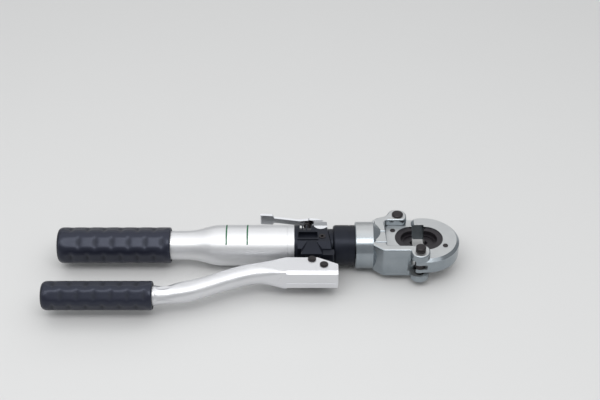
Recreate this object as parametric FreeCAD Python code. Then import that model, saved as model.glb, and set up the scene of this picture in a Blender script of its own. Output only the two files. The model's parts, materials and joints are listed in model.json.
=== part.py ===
# Hydraulic cable crimping tool lying on its side, in millimetres.
# The ram runs along X towards the crimping head at +X, and the fixed grip is at -X.
# Z is normal to the plane in which the yoke, the moving handle and the release lever swing.
# The tool is modelled from the face where the reservoir tube meets the pump block, on the ram axis,
# and at the end it is set on the surface that it lies on, below the middle of its outline.
import FreeCAD, Part
import math
import os

# Fits
RUNNING_FIT = 0.05
ASSEMBLY_FIT = 0.03
FACE_GAP = 0.3

# Length of a cut that runs out past every piece
CLEAR_CUT = 60.0

# Facets of a spring's wire
WIRE_SIDES = 6
WIRE_STEPS = 12

# Reservoir tube, measured back from the pump block
TUBE_LARGE_RADIUS = 21.7
TUBE_SMALL_RADIUS = 15.35
TUBE_WALL = 2.8
TUBE_LARGE_LENGTH = 74.0
TUBE_TAPER_LENGTH = 43.0
TUBE_SMALL_LENGTH = 129.0
TUBE_RING_DEPTH = 0.4
TUBE_RING_PLACE = 7.0
TUBE_RING_WIDTH = 0.8

# Parts in the tube
END_PLUG_LENGTH = 12.0
FILLER_SCREW_RADIUS = 4.0
FILLER_HEX = 4.0
BLADDER_WALL = 1.6
BLADDER_CLEARANCE = 0.4
BLADDER_LENGTH = 196.0
STRAINER_RADIUS = 6.0
STRAINER_LENGTH = 16.0

# Main grip
GRIP_RADIUS = 19.25
GRIP_LENGTH = 121.0
GRIP_END_WALL = 6.0
GRIP_END_ROUND = 5.0
GRIP_LIP_RADIUS = 0.7
GRIP_ROWS = 6
GRIP_ROW_ANGLE = 50.0
GRIP_FLAT_DEPTH = 0.85
GRIP_COLLAR = 6.0
HOLLOW_START = 23.7
HOLLOW_PITCH = 17.6
HOLLOW_RADIUS = 2.6
HOLLOW_DEPTH = 1.3

# Pump block
FLANGE_RADIUS = 22.0
FLANGE_LENGTH = 3.4
BLOCK_RADIUS = 21.5
BLOCK_HALF_HEIGHT = 19.0
BLOCK_FRONT = 21.7
BLOCK_BEVEL = 5.7
BLOCK_LENGTH = 36.4
BLOCK_END_CHAMFER = 1.2
BLOCK_BACK_RIGHT = 33.0
NECK_RADIUS = 17.5
NECK_LEFT = 36.0
NECK_LENGTH = 5.0
TUBE_SPIGOT_LENGTH = 14.0
CYLINDER_SPIGOT_LENGTH = 8.0
RIB_GROOVES = ((5.8, 8.0), (9.4, 12.2), (13.8, 18.0))
RIB_FLOOR_RADIUS = 17.8
RIB_BOTTOM_Z = 7.0
POCKET_LENGTH = 20.4
POCKET_WIDTH = 11.0
POCKET_DEPTH = 3.0
POCKET_RIM = 1.2
POCKET_RIM_HEIGHT = 0.8
POCKET_X = 14.4
POCKET_Y = -7.0

# Plunger and the boss around it
PLUNGER_X = 18.5
PLUNGER_RADIUS = 5.8
PLUNGER_INNER_END = -2.0
CHAMBER_END = 3.0
BOSS_WIDTH = 23.0
BOSS_BEVEL = 6.5
BOSS_REACH = 30.0
BOSS_SLOPE_START = -17.0
BOSS_FRONT_HALF_HEIGHT = 12.8
EAR_HALF_HEIGHT = 12.4
EAR_RIGHT = 42.0
EAR_FRONT = -30.6
GLAND_RADIUS = 9.0
GLAND_LENGTH = 5.0
PLUNGER_SEAL_LENGTH = 2.5
TONGUE_HALF_THICKNESS = 5.0
TONGUE_LEFT = 8.3
TONGUE_RIGHT = 5.6
EYE_SLOT_LEFT = 2.8
EYE_PLAY = 0.3

# Handle pivot
PIVOT_X = 30.9
PIVOT_Y = -45.7
PIVOT_PIN_RADIUS = 3.5
LUG_RADIUS = 6.5
LUG_HALF_THICKNESS = 6.2
DRIVE_PIN_Y = -37.0
DRIVE_PIN_RADIUS = 3.0
CLIP_RADIUS = 4.4
CLIP_THICKNESS = 1.0

# Moving handle
HANDLE_HALF_HEIGHT = 12.0
HANDLE_BOX_LEFT = -8.0
HANDLE_BOX_RIGHT = 45.6
HANDLE_BACK = -33.3
HANDLE_FRONT = -58.0
HANDLE_FLAT_END = 23.0
HANDLE_RIGHT_BACK = -44.6
HANDLE_CORNER = 3.0
HANDLE_BEVEL = 3.0
HANDLE_LIP_LEFT = -17.0
HANDLE_LIP_DEPTH = 6.0
HANDLE_BACK_CORNER = 1.0
HANDLE_SLOT_LEFT = 1.0
HANDLE_FRONT_WALL = 5.0
HANDLE_TUBE_RADIUS = 10.3
HANDLE_GRIP_Y = -80.0
HANDLE_TUBE_END = -254.0
HANDLE_SHANK_END = -142.0
HANDLE_GRIP_RADIUS = 15.15
HANDLE_GRIP_LENGTH = 114.0
HANDLE_GRIP_END_WALL = 4.0
HANDLE_GRIP_ROW_ANGLE = 42.0
HANDLE_HOLLOW_START = 21.0
HANDLE_HOLLOW_PITCH = 17.0
PARTING_RIB_Z = -3.4
PARTING_RIB_HEIGHT = 1.4
PARTING_RIB_DEPTH = 0.4

# Release lever and valve
LEVER_PIVOT_X = 28.0
LEVER_PIVOT_Y = 12.0
LEVER_PIN_RADIUS = 2.5
LEVER_PIN_TOP = 11.0
LEVER_HUB_RADIUS = 7.2
LEVER_HUB_TOP = 16.0
LEVER_HALF_HEIGHT = 6.0
LEVER_ARM_HALF_HEIGHT = 3.0
LEVER_SLOT_LEFT = 19.6
PADDLE_LEFT = -37.3
PADDLE_LENGTH = 13.7
RELEASE_PIN_X = 14.0
RELEASE_PIN_RADIUS = 2.5
RELEASE_PIN_INNER_END = 11.0
RELEASE_PIN_OUTER_END = 34.8
RELEASE_BORE_END = 8.0
RELEASE_WAIST = 1.7
RELEASE_WAIST_Y = 14.4
RELEASE_WAIST_LENGTH = 2.6
RELEASE_OIL_HOLE = 0.9
RELEASE_COLLAR_RADIUS = 4.0
RELEASE_COLLAR_Y = 30.5
RELEASE_COLLAR_LENGTH = 2.0
SPOT_FACE_RADIUS = 4.6
SPOT_FACE_Y = 20.3

# Valves
PASSAGE_RADIUS = 2.0
VALVE_BORE_RADIUS = 3.2
VALVE_RING_LENGTH = 4.0
VALVE_RING_BORE = 1.6
CHECK_BALL_RADIUS = 2.6
SUCTION_RING_X = -2.0
DELIVERY_SEAT_X = 30.0
DELIVERY_RING_X = 44.0
SIDE_PASSAGE_RADIUS = 1.2
SIDE_PASSAGE_Y = 5.6
SIDE_PASSAGE_Z = -9.0
RETURN_PASSAGE_Y = 12.7
RELIEF_X = 29.4
RELIEF_Y = -8.0
RELIEF_SCREW_RADIUS = 3.6
RELIEF_BORE_BOTTOM = 9.0
RELIEF_BALL_RADIUS = 1.8
RELIEF_SCREW_BOTTOM = 15.0

# Ram cylinder and what is in it
CYLINDER_RADIUS = 21.55
CYLINDER_LENGTH = 23.0
CYLINDER_ROUND = 3.0
CYLINDER_BORE = 16.5
CYLINDER_RING_PLACE = 5.3
CYLINDER_RING_WIDTH = 0.9
CYLINDER_RING_DEPTH = 0.5
SWIVEL_RADIUS = 20.0
SWIVEL_LENGTH = 22.0
SNAP_RING_RADIUS = 1.2
SNAP_RING_PLACE = 9.0
PISTON_LENGTH = 10.5
PISTON_SEAL_LENGTH = 3.0
PISTON_SEAL_DEPTH = 2.2
ROD_RADIUS = 10.0
ROD_SPIGOT_RADIUS = 6.0
ROD_SPIGOT_LENGTH = 7.0
ROD_GLAND_LENGTH = 6.0
RAM_STROKE = 13.0
RETURN_COIL_RADIUS = 12.9
RETURN_WIRE_RADIUS = 1.2
RETURN_TURNS = 4

# Head base
SOCKET_RADIUS = 25.0
SOCKET_LENGTH = 19.0
SOCKET_CHAMFER = 1.0
SHOULDER_RADIUS = 19.0
SHOULDER_LENGTH = 8.0
HEAD_HALF_HEIGHT = 18.0
HEAD_EDGE_ROUND = 2.0
CHANNEL_HALF_WIDTH = 21.0
CHANNEL_WALL_X = 97.5
ROD_HOLE_RADIUS = 10.5
WIPER_RADIUS = 13.0
WIPER_LENGTH = 3.0
HINGE_X = 111.0
HINGE_Y = 29.4
HINGE_PIN_RADIUS = 5.0
HINGE_CLIP_RADIUS = 6.0
HINGE_LUG_RADIUS = 9.5
HINGE_SLOT_LEFT = 102.4
TONGUE_RADIUS = 8.0
YOKE_TONGUE_HALF_HEIGHT = 6.0
FRONT_FACE_Y = -29.6
FRONT_BLOCK_RIGHT = 119.4
PAD_HEIGHT = 0.9
PAD_BEVEL = 0.6
PANEL_DEPTH = 0.4

# Lock pin and its boss
LOCK_X = 132.0
LOCK_Y = -30.8
LOCK_PIN_RADIUS = 5.3
LOCK_WAIST_RADIUS = 3.6
LOCK_STROKE = 5.6
LOCK_HEAD_HEIGHT = 6.0
LOCK_GROOVE_RADIUS = 4.6
LOCK_GROOVE_HEIGHT = 0.9
LOCK_LAND = 4.8
LOCK_SLOT_HALF_WIDTH = 3.75
BOSS_RADIUS = 10.1

# Yoke
YOKE_HALF_HEIGHT = 10.0
YOKE_RADIUS = 36.5
YOKE_BEVEL = 3.0
YOKE_SHOULDER_X = 126.0
YOKE_INNER_HALF_WIDTH = 22.0
YOKE_ARM_END_X = 123.5
YOKE_ARM_SIDE = -39.4
FINGER_GAP = 5.5
FINGER_GAP_END = 139.6

# Dies and their lock pins
DIE_RADIUS = 19.0
DIE_HALF_HEIGHT = 9.0
DIE_FACE_X = 126.0
DIE_RECESS_RADIUS = 13.0
DIE_RECESS_DEPTH = 4.5
DIE_STEP_RADIUS = 10.0
DIE_STEP_DEPTH = 1.2
DIE_HEX_RADIUS = 3.4
DIE_REBATE = 2.0
NOSE_HALF_WIDTH = 20.7
NOSE_HALF_HEIGHT = 10.0
NOSE_PIN_RADIUS = 2.0
NOSE_PIN_X = 101.5
NOSE_PIN_BACK = 8.0
DIE_PIN_DISTANCE = 24.2
DIE_PIN_ANGLE = 31.0
DIE_PIN_RADIUS = 2.75
DIE_PIN_WAIST = 1.85
DIE_PIN_PROUD = 0.8
DIE_PIN_BOTTOM = -3.4
DIE_PIN_BORE_BOTTOM = -8.5
DIE_BALL_RADIUS = 1.65
DIE_WAIST_BOTTOM = 0.9
DIE_WAIST_TOP = 4.9

# Stations worked out from the sizes above
TAPER_RIGHT = -TUBE_LARGE_LENGTH
TAPER_LEFT = TAPER_RIGHT - TUBE_TAPER_LENGTH
TUBE_LEFT = TAPER_LEFT - TUBE_SMALL_LENGTH
BLOCK_RIGHT = FLANGE_LENGTH + BLOCK_LENGTH
CYLINDER_LEFT = NECK_LEFT + NECK_LENGTH
CYLINDER_RIGHT = CYLINDER_LEFT + CYLINDER_LENGTH
CYLINDER_END = CYLINDER_RIGHT + SWIVEL_LENGTH
PISTON_LEFT = CYLINDER_LEFT + CYLINDER_SPIGOT_LENGTH + FACE_GAP
PISTON_RIGHT = PISTON_LEFT + PISTON_LENGTH
GLAND_LEFT = CYLINDER_END - ROD_GLAND_LENGTH
SOCKET_LEFT = CYLINDER_RIGHT + FACE_GAP
SOCKET_RIGHT = SOCKET_LEFT + SOCKET_LENGTH
NOSE_LEFT = CHANNEL_WALL_X + FACE_GAP
DIE_FIXED_X = DIE_FACE_X + RAM_STROKE
LUG_CLEARANCE_SLOT = LUG_HALF_THICKNESS + FACE_GAP
FINGER_INNER = FINGER_GAP / 2
CHEEK_INNER = YOKE_HALF_HEIGHT + FACE_GAP



# Basic shapes

def vector(x, y, z):
    return FreeCAD.Vector(x, y, z)


AXIS_X = vector(1, 0, 0)
AXIS_Y = vector(0, 1, 0)
AXIS_Z = vector(0, 0, 1)


def rod_x(left, right, radius, y=0.0, z=0.0):
    return Part.makeCylinder(radius, right - left, vector(left, y, z), AXIS_X)


def rod_y(low, high, radius, x=0.0, z=0.0):
    return Part.makeCylinder(radius, high - low, vector(x, low, z), AXIS_Y)


def rod_z(x, y, low, high, radius):
    return Part.makeCylinder(radius, high - low, vector(x, y, low), AXIS_Z)


def ball(x, y, z, radius):
    return Part.makeSphere(radius, vector(x, y, z))


def block(x_range, y_range, z_range):
    corner = vector(x_range[0], y_range[0], z_range[0])
    return Part.makeBox(x_range[1] - x_range[0], y_range[1] - y_range[0], z_range[1] - z_range[0], corner)


def turned(points):
    """Solid of revolution about X from a closed list of (x, radius) points."""
    corners = [vector(x, 0, radius) for x, radius in points]
    outline = Part.makePolygon(corners + corners[:1])
    return Part.Face(outline).revolve(vector(0, 0, 0), AXIS_X, 360)


def turned_about_z(x, y, points):
    """Solid of revolution about a line along Z from a closed list of (radius, z) points."""
    corners = [vector(x + radius, y, z) for radius, z in points]
    outline = Part.makePolygon(corners + corners[:1])
    return Part.Face(outline).revolve(vector(x, y, 0), AXIS_Z, 360)


def rounded_outline(corners, z):
    """Closed wire at one height; each corner is (x, y) or (x, y, rounding radius)."""
    places = [vector(corner[0], corner[1], z) for corner in corners]
    radii = [corner[2] if len(corner) > 2 else 0.0 for corner in corners]
    edges = []
    leaving = []
    entering = []
    for index, place in enumerate(places):
        back = (places[index - 1] - place).normalize()
        ahead = (places[(index + 1) % len(places)] - place).normalize()
        half = back.getAngle(ahead) / 2
        reach = radii[index] / math.tan(half)
        entering.append(place + back * reach)
        leaving.append(place + ahead * reach)
        if radii[index]:
            toward_centre = (back + ahead).normalize()
            crown = place + toward_centre * (radii[index] / math.sin(half) - radii[index])
            edges.append(Part.Arc(entering[index], crown, leaving[index]).toShape())
    for index, start in enumerate(leaving):
        end = entering[(index + 1) % len(places)]
        if start.distanceToPoint(end) > 0.001:
            edges.append(Part.LineSegment(start, end).toShape())
    return Part.Wire(Part.__sortEdges__(edges))


def plate(corners, low, high):
    """Prism along Z from a rounded outline."""
    return Part.Face(rounded_outline(corners, low)).extrude(vector(0, 0, high - low))


def prism_x(corners, left, right):
    """Prism along X; its outline corners are (y, z) or (y, z, radius)."""
    solid = plate(corners, left, right)
    solid.rotate(vector(0, 0, 0), vector(1, 1, 1), 120)
    return solid


def prism_y(corners, low, high):
    """Prism along Y; its outline corners are (x, z) or (x, z, radius)."""
    solid = plate(corners, -high, -low)
    solid.rotate(vector(0, 0, 0), AXIS_X, 90)
    return solid


def wire_section(place, along, outward, wire_radius):
    """Many-sided section of a spring's wire."""
    across = along.cross(outward)
    corners = []
    for index in range(WIRE_SIDES):
        angle = 2 * math.pi * index / WIRE_SIDES
        corners.append(place + outward * (wire_radius * math.cos(angle)) + across * (wire_radius * math.sin(angle)))
    return Part.makePolygon(corners + corners[:1])


def coil(start, direction, length, radius, wire_radius, turns):
    """Spring of a given length along a direction, faceted along its wire."""
    rise = length - 2 * wire_radius
    lead_angle = math.atan2(rise / turns, 2 * math.pi * radius)
    steps = turns * WIRE_STEPS
    sections = []
    for step in range(steps + 1):
        angle = 2 * math.pi * step / WIRE_STEPS
        outward = vector(math.cos(angle), math.sin(angle), 0)
        tangent = vector(-math.sin(angle), math.cos(angle), math.tan(lead_angle)).normalize()
        place = outward * radius + vector(0, 0, wire_radius + rise * step / steps)
        sections.append(wire_section(place, tangent, outward, wire_radius))
    spring = Part.makeLoft(sections, True, True)
    spring.Placement = FreeCAD.Placement(start, FreeCAD.Rotation(AXIS_Z, direction))
    return spring


def joined(first, *others):
    return first.fuse(list(others)).removeSplitter()


def hex_socket(x, y, low, high, across_flats):
    corner_radius = across_flats / math.sqrt(3)
    corners = []
    for index in range(6):
        angle = math.radians(60 * index)
        corners.append((x + corner_radius * math.cos(angle), y + corner_radius * math.sin(angle)))
    return plate(corners, low, high)


def ring_z(x, y, low, high, outer, inner):
    return rod_z(x, y, low, high, outer).cut(rod_z(x, y, low - 1, high + 1, inner))


# Fixed side: tube, grip, block and cylinder

def tube_form(inset, left, right):
    """Solid that follows the outside of the reservoir tube, smaller by an inset."""
    small = TUBE_SMALL_RADIUS - inset
    large = TUBE_LARGE_RADIUS - inset
    middle = (TAPER_LEFT + TAPER_RIGHT) / 2
    swell = Part.BezierCurve()
    swell.setPoles([vector(TAPER_LEFT, 0, small), vector(middle, 0, small),
                    vector(middle, 0, large), vector(TAPER_RIGHT, 0, large)])
    straight = Part.makePolygon([vector(TAPER_RIGHT, 0, large), vector(right, 0, large), vector(right, 0, 0),
                                 vector(left, 0, 0), vector(left, 0, small), vector(TAPER_LEFT, 0, small)])
    outline = Part.Wire(Part.__sortEdges__([swell.toShape()] + straight.Edges))
    return Part.Face(outline).revolve(vector(0, 0, 0), AXIS_X, 360)


def make_reservoir_tube():
    tube = tube_form(0, TUBE_LEFT, 0).cut(tube_form(TUBE_WALL, TUBE_LEFT - 1, 1))
    ring_left = -TUBE_RING_PLACE - TUBE_RING_WIDTH
    groove = rod_x(ring_left, -TUBE_RING_PLACE, TUBE_LARGE_RADIUS + 1)
    groove = groove.cut(rod_x(ring_left, -TUBE_RING_PLACE, TUBE_LARGE_RADIUS - TUBE_RING_DEPTH))
    return tube.cut(groove)


def make_oil_bladder():
    inset = TUBE_WALL + BLADDER_CLEARANCE
    right = -TUBE_SPIGOT_LENGTH - FACE_GAP
    left = right - BLADDER_LENGTH
    outside = tube_form(inset, left, right)
    inside = tube_form(inset + BLADDER_WALL, left + BLADDER_WALL, right - BLADDER_WALL)
    mouth = rod_x(right - 2 * BLADDER_WALL, right + 1, STRAINER_RADIUS + ASSEMBLY_FIT)
    return outside.cut(inside).cut(mouth)


def make_strainer():
    right = -TUBE_SPIGOT_LENGTH
    shell = rod_x(right - STRAINER_LENGTH, right, STRAINER_RADIUS)
    hollow = rod_x(right - STRAINER_LENGTH + 1.5, right + 1, STRAINER_RADIUS - 1.5)
    shell = shell.cut(hollow)
    for angle in range(0, 360, 60):
        slot = block((right - STRAINER_LENGTH + 3, right - 5), (2, STRAINER_RADIUS + 1), (-1, 1))
        slot.rotate(vector(0, 0, 0), AXIS_X, angle)
        shell = shell.cut(slot)
    return shell


def make_end_plug():
    radius = TUBE_SMALL_RADIUS - TUBE_WALL - ASSEMBLY_FIT
    plug = rod_x(TUBE_LEFT, TUBE_LEFT + END_PLUG_LENGTH, radius)
    return plug.cut(rod_x(TUBE_LEFT - 1, TUBE_LEFT + END_PLUG_LENGTH + 1, FILLER_SCREW_RADIUS))


def make_filler_screw():
    screw = rod_x(TUBE_LEFT, TUBE_LEFT + END_PLUG_LENGTH, FILLER_SCREW_RADIUS - ASSEMBLY_FIT)
    half = FILLER_HEX / 2
    side = FILLER_HEX / math.sqrt(3)
    hexagon = [(side, 0), (side / 2, half), (-side / 2, half), (-side, 0), (-side / 2, -half), (side / 2, -half)]
    return screw.cut(prism_x(hexagon, TUBE_LEFT - 1, TUBE_LEFT + END_PLUG_LENGTH / 2))


def grip_body(left, right, radius, y):
    """Rubber sleeve outside: a rounded closed end, a straight barrel and a thin lip at the mouth."""
    lip = radius + GRIP_LIP_RADIUS / 2
    bend = GRIP_END_ROUND * (1 - math.sqrt(0.5))
    end_arc = Part.Arc(vector(left, 0, radius - GRIP_END_ROUND), vector(left + bend, 0, radius - bend),
                       vector(left + GRIP_END_ROUND, 0, radius)).toShape()
    lip_left = right - 3 * GRIP_LIP_RADIUS
    rest = Part.makePolygon([vector(left + GRIP_END_ROUND, 0, radius), vector(lip_left, 0, radius),
                             vector(right - GRIP_LIP_RADIUS, 0, lip), vector(right, 0, radius - GRIP_LIP_RADIUS),
                             vector(right, 0, 0), vector(left, 0, 0), vector(left, 0, radius - GRIP_END_ROUND)])
    outline = Part.Wire(Part.__sortEdges__([end_arc] + rest.Edges))
    grip = Part.Face(outline).revolve(vector(0, 0, 0), AXIS_X, 360)
    grip.translate(vector(0, y, 0))
    return grip


def grip_cuts(left, right, radius, row_angle, start, pitch, y):
    """Flats along a grip with hollows across them, each row half a pitch on from the last."""
    cuts = []
    flat_distance = radius - GRIP_FLAT_DEPTH
    hollow_centre = flat_distance - HOLLOW_DEPTH + HOLLOW_RADIUS
    end = right - GRIP_COLLAR
    for row in range(GRIP_ROWS):
        row_cuts = [block((left + GRIP_END_ROUND + 2, end), (-radius - 1, -flat_distance), (-radius, radius))]
        x = left + start - (pitch / 2 if row % 2 else 0)
        while x < end - HOLLOW_RADIUS / 2:
            row_cuts.append(rod_z(x, -hollow_centre, -radius, radius, HOLLOW_RADIUS))
            x += pitch
        for cut in row_cuts:
            cut.rotate(vector(0, 0, 0), AXIS_X, -row_angle - row * 360 / GRIP_ROWS)
            cut.translate(vector(0, y, 0))
        cuts += row_cuts
    return cuts


def make_main_grip():
    left = TUBE_LEFT - GRIP_END_WALL
    right = left + GRIP_LENGTH
    grip = grip_body(left, right, GRIP_RADIUS, 0)
    grip = grip.cut(rod_x(TUBE_LEFT, right + 1, TUBE_SMALL_RADIUS + ASSEMBLY_FIT))
    return grip.cut(grip_cuts(left, right, GRIP_RADIUS, GRIP_ROW_ANGLE, HOLLOW_START, HOLLOW_PITCH, 0))


def block_prism():
    """Main body of the pump block: round at the back, flat on top and below, bevelled to the front."""
    arc_y = math.sqrt(BLOCK_RADIUS ** 2 - BLOCK_HALF_HEIGHT ** 2)
    top = BLOCK_HALF_HEIGHT
    bevel_y = BLOCK_BEVEL - BLOCK_FRONT
    bevel_z = top - BLOCK_BEVEL
    x = FLANGE_LENGTH
    back = Part.Arc(vector(x, arc_y, -top), vector(x, BLOCK_RADIUS, 0), vector(x, arc_y, top)).toShape()
    front = Part.makePolygon([vector(x, arc_y, top), vector(x, bevel_y, top), vector(x, -BLOCK_FRONT, bevel_z),
                              vector(x, -BLOCK_FRONT, -bevel_z), vector(x, bevel_y, -top), vector(x, arc_y, -top)])
    body = Part.Face(Part.Wire([back] + front.Edges)).extrude(vector(BLOCK_LENGTH, 0, 0))
    plan = [(x - 1, -30), (BLOCK_RIGHT, -30), (BLOCK_RIGHT, -BLOCK_FRONT), (BLOCK_BACK_RIGHT, BLOCK_RADIUS),
            (BLOCK_BACK_RIGHT, 30), (x - 1, 30)]
    body = body.common(plate(plan, -30, 30))
    slanted_face = max(body.Faces, key=lambda face: face.CenterOfMass.x)
    return body.makeChamfer(BLOCK_END_CHAMFER, slanted_face.Edges)


def plunger_boss():
    """Eight-sided boss around the plunger, sloping down towards the handle."""
    left = PLUNGER_X - BOSS_WIDTH / 2
    right = PLUNGER_X + BOSS_WIDTH / 2
    top = BLOCK_HALF_HEIGHT
    section = [(left, BOSS_BEVEL - top), (left + BOSS_BEVEL, -top), (right - BOSS_BEVEL, -top), (right, BOSS_BEVEL - top),
               (right, top - BOSS_BEVEL), (right - BOSS_BEVEL, top), (left + BOSS_BEVEL, top), (left, top - BOSS_BEVEL)]
    boss = prism_y(section, -BOSS_REACH, -BLOCK_FRONT / 2)
    low = BOSS_FRONT_HALF_HEIGHT
    slope = [(0, -top - 1), (BOSS_SLOPE_START, -top - 1), (BOSS_SLOPE_START, -top), (-BOSS_REACH - 1, -low),
             (-BOSS_REACH - 1, low), (BOSS_SLOPE_START, top), (BOSS_SLOPE_START, top + 1), (0, top + 1)]
    return boss.common(prism_x(slope, left - 1, right + 1))


def bracket_ear():
    """Thick ear in front of the cylinder's end, from which the handle's lug stands out."""
    left = PIVOT_X - LUG_RADIUS
    corners = [(left, -BLOCK_FRONT / 2), (left, EAR_FRONT), (EAR_RIGHT, EAR_FRONT, 2), (EAR_RIGHT, -BLOCK_FRONT - 0.2, 1),
               (BLOCK_RIGHT - BLOCK_END_CHAMFER, -BLOCK_FRONT - 0.2), (NECK_LEFT - 1, -BLOCK_FRONT / 2)]
    return plate(corners, -EAR_HALF_HEIGHT, EAR_HALF_HEIGHT)


def handle_lug():
    left = PIVOT_X - LUG_RADIUS
    right = PIVOT_X + LUG_RADIUS
    tip = PIVOT_Y - LUG_RADIUS
    corners = [(left, EAR_FRONT + 5), (left, tip, LUG_RADIUS - 0.01), (right, tip, LUG_RADIUS - 0.01),
               (right, EAR_FRONT + 5)]
    return plate(corners, -LUG_HALF_THICKNESS, LUG_HALF_THICKNESS)


def rib_grooves():
    """Ring grooves over the round back of the block."""
    grooves = []
    for left, right in RIB_GROOVES:
        ring = rod_x(left, right, BLOCK_RADIUS + 1).cut(rod_x(left, right, RIB_FLOOR_RADIUS))
        grooves.append(ring.common(block((left, right), (0, 30), (RIB_BOTTOM_Z, 30))))
    return grooves


def lever_pocket():
    """Pocket for the lever's hub, open to the top, the back and the right."""
    floor = -LEVER_HALF_HEIGHT - FACE_GAP
    round_end = rod_z(LEVER_PIVOT_X, LEVER_PIVOT_Y, floor, 30, LEVER_HUB_RADIUS + 0.4)
    return round_end.fuse(block((LEVER_SLOT_LEFT, NECK_LEFT), (LEVER_PIVOT_Y, 30), (floor, 30)))


def pocket_corners(margin):
    left = POCKET_X - POCKET_LENGTH / 2 + margin
    right = POCKET_X + POCKET_LENGTH / 2 - margin
    low = POCKET_Y - POCKET_WIDTH / 2 + margin
    high = POCKET_Y + POCKET_WIDTH / 2 - margin
    return [(left, low, 1.5), (right, low, 1.5), (right, high, 1.5), (left, high, 1.5)]


def valve_passages():
    """Oil ways drilled in the block: suction, delivery, relief, release and return."""
    left_face = -TUBE_SPIGOT_LENGTH
    right_face = CYLINDER_LEFT + CYLINDER_SPIGOT_LENGTH
    chamber_left = PLUNGER_X - PLUNGER_RADIUS
    drillings = [
        rod_x(left_face - 1, chamber_left - 1.5, VALVE_BORE_RADIUS),
        rod_x(chamber_left - 2, chamber_left + 1, PASSAGE_RADIUS),
        rod_x(PLUNGER_X, DELIVERY_SEAT_X, PASSAGE_RADIUS),
        rod_x(DELIVERY_SEAT_X, right_face + 1, VALVE_BORE_RADIUS),
        rod_x(RELEASE_PIN_X, right_face + 1, SIDE_PASSAGE_RADIUS, SIDE_PASSAGE_Y, SIDE_PASSAGE_Z),
        rod_z(RELEASE_PIN_X, SIDE_PASSAGE_Y, SIDE_PASSAGE_Z, 0, SIDE_PASSAGE_RADIUS),
        rod_y(SIDE_PASSAGE_Y, RELEASE_BORE_END + 1, SIDE_PASSAGE_RADIUS, RELEASE_PIN_X),
        rod_x(left_face - 1, RELEASE_PIN_X, SIDE_PASSAGE_RADIUS, RETURN_PASSAGE_Y),
        rod_z(RELIEF_X, RELIEF_Y, RELIEF_BORE_BOTTOM, BLOCK_HALF_HEIGHT + 1, RELIEF_SCREW_RADIUS),
        rod_z(RELIEF_X, RELIEF_Y, 0, RELIEF_BORE_BOTTOM, 1),
        rod_y(RELIEF_Y, 0, 1, RELIEF_X),
    ]
    return drillings


def make_pump_block():
    right_face = CYLINDER_LEFT + CYLINDER_SPIGOT_LENGTH
    body = joined(
        block_prism(),
        plunger_boss(),
        bracket_ear(),
        handle_lug(),
        rod_x(0, FLANGE_LENGTH, FLANGE_RADIUS),
        rod_x(-TUBE_SPIGOT_LENGTH, 0, TUBE_LARGE_RADIUS - TUBE_WALL - ASSEMBLY_FIT),
        rod_x(NECK_LEFT, CYLINDER_LEFT, NECK_RADIUS),
        rod_x(CYLINDER_LEFT, right_face, CYLINDER_BORE - ASSEMBLY_FIT),
        plate(pocket_corners(-POCKET_RIM), BLOCK_HALF_HEIGHT - 1, BLOCK_HALF_HEIGHT + POCKET_RIM_HEIGHT),
    )
    top = BLOCK_HALF_HEIGHT + POCKET_RIM_HEIGHT
    tools = rib_grooves() + valve_passages()
    tools.append(plate(pocket_corners(0), BLOCK_HALF_HEIGHT - POCKET_DEPTH, top + 1))
    tools.append(rod_y(-BOSS_REACH - 1, CHAMBER_END, PLUNGER_RADIUS + RUNNING_FIT, PLUNGER_X))
    gland_depth = GLAND_LENGTH + PLUNGER_SEAL_LENGTH
    tools.append(rod_y(-BOSS_REACH - 1, -BOSS_REACH + gland_depth, GLAND_RADIUS, PLUNGER_X))
    tools.append(rod_z(PIVOT_X, PIVOT_Y, -20, 20, PIVOT_PIN_RADIUS + ASSEMBLY_FIT))
    tools.append(rod_y(RELEASE_BORE_END, 30, RELEASE_PIN_RADIUS + RUNNING_FIT, RELEASE_PIN_X))
    tools.append(rod_y(SPOT_FACE_Y, 30, SPOT_FACE_RADIUS, RELEASE_PIN_X))
    tools.append(lever_pocket())
    tools.append(rod_z(LEVER_PIVOT_X, LEVER_PIVOT_Y, -30, 0, LEVER_PIN_RADIUS + ASSEMBLY_FIT))
    return body.cut(tools)


def make_plunger_gland():
    low = -BOSS_REACH
    gland = rod_y(low, low + GLAND_LENGTH, GLAND_RADIUS - ASSEMBLY_FIT, PLUNGER_X)
    gland = gland.cut(rod_y(low - 1, low + GLAND_LENGTH + 1, PLUNGER_RADIUS + RUNNING_FIT, PLUNGER_X))
    for side in (-1, 1):
        gland = gland.cut(rod_y(low - 1, low + 2.5, 0.8, PLUNGER_X + side * 7.5))
    return gland


def make_plunger_seal():
    low = GLAND_LENGTH - BOSS_REACH
    seal = rod_y(low, low + PLUNGER_SEAL_LENGTH, GLAND_RADIUS - ASSEMBLY_FIT, PLUNGER_X)
    return seal.cut(rod_y(low - 1, low + PLUNGER_SEAL_LENGTH + 1, PLUNGER_RADIUS + RUNNING_FIT, PLUNGER_X))


def make_pivot_pin():
    half = HANDLE_HALF_HEIGHT + 1.6
    return rod_z(PIVOT_X, PIVOT_Y, -half, half, PIVOT_PIN_RADIUS)


def pin_clips(x, y, pin_radius):
    """Two retaining rings outside the handle's cheeks."""
    low = HANDLE_HALF_HEIGHT + 0.1
    high = low + CLIP_THICKNESS
    upper = ring_z(x, y, low, high, CLIP_RADIUS, pin_radius + ASSEMBLY_FIT)
    lower = ring_z(x, y, -high, -low, CLIP_RADIUS, pin_radius + ASSEMBLY_FIT)
    return Part.makeCompound([upper, lower])


def valve_ring(left):
    ring = rod_x(left, left + VALVE_RING_LENGTH, VALVE_BORE_RADIUS - ASSEMBLY_FIT)
    return ring.cut(rod_x(left - 1, left + VALVE_RING_LENGTH + 1, VALVE_RING_BORE))


def make_valve_rings():
    return Part.makeCompound([valve_ring(SUCTION_RING_X), valve_ring(DELIVERY_RING_X)])


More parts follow.
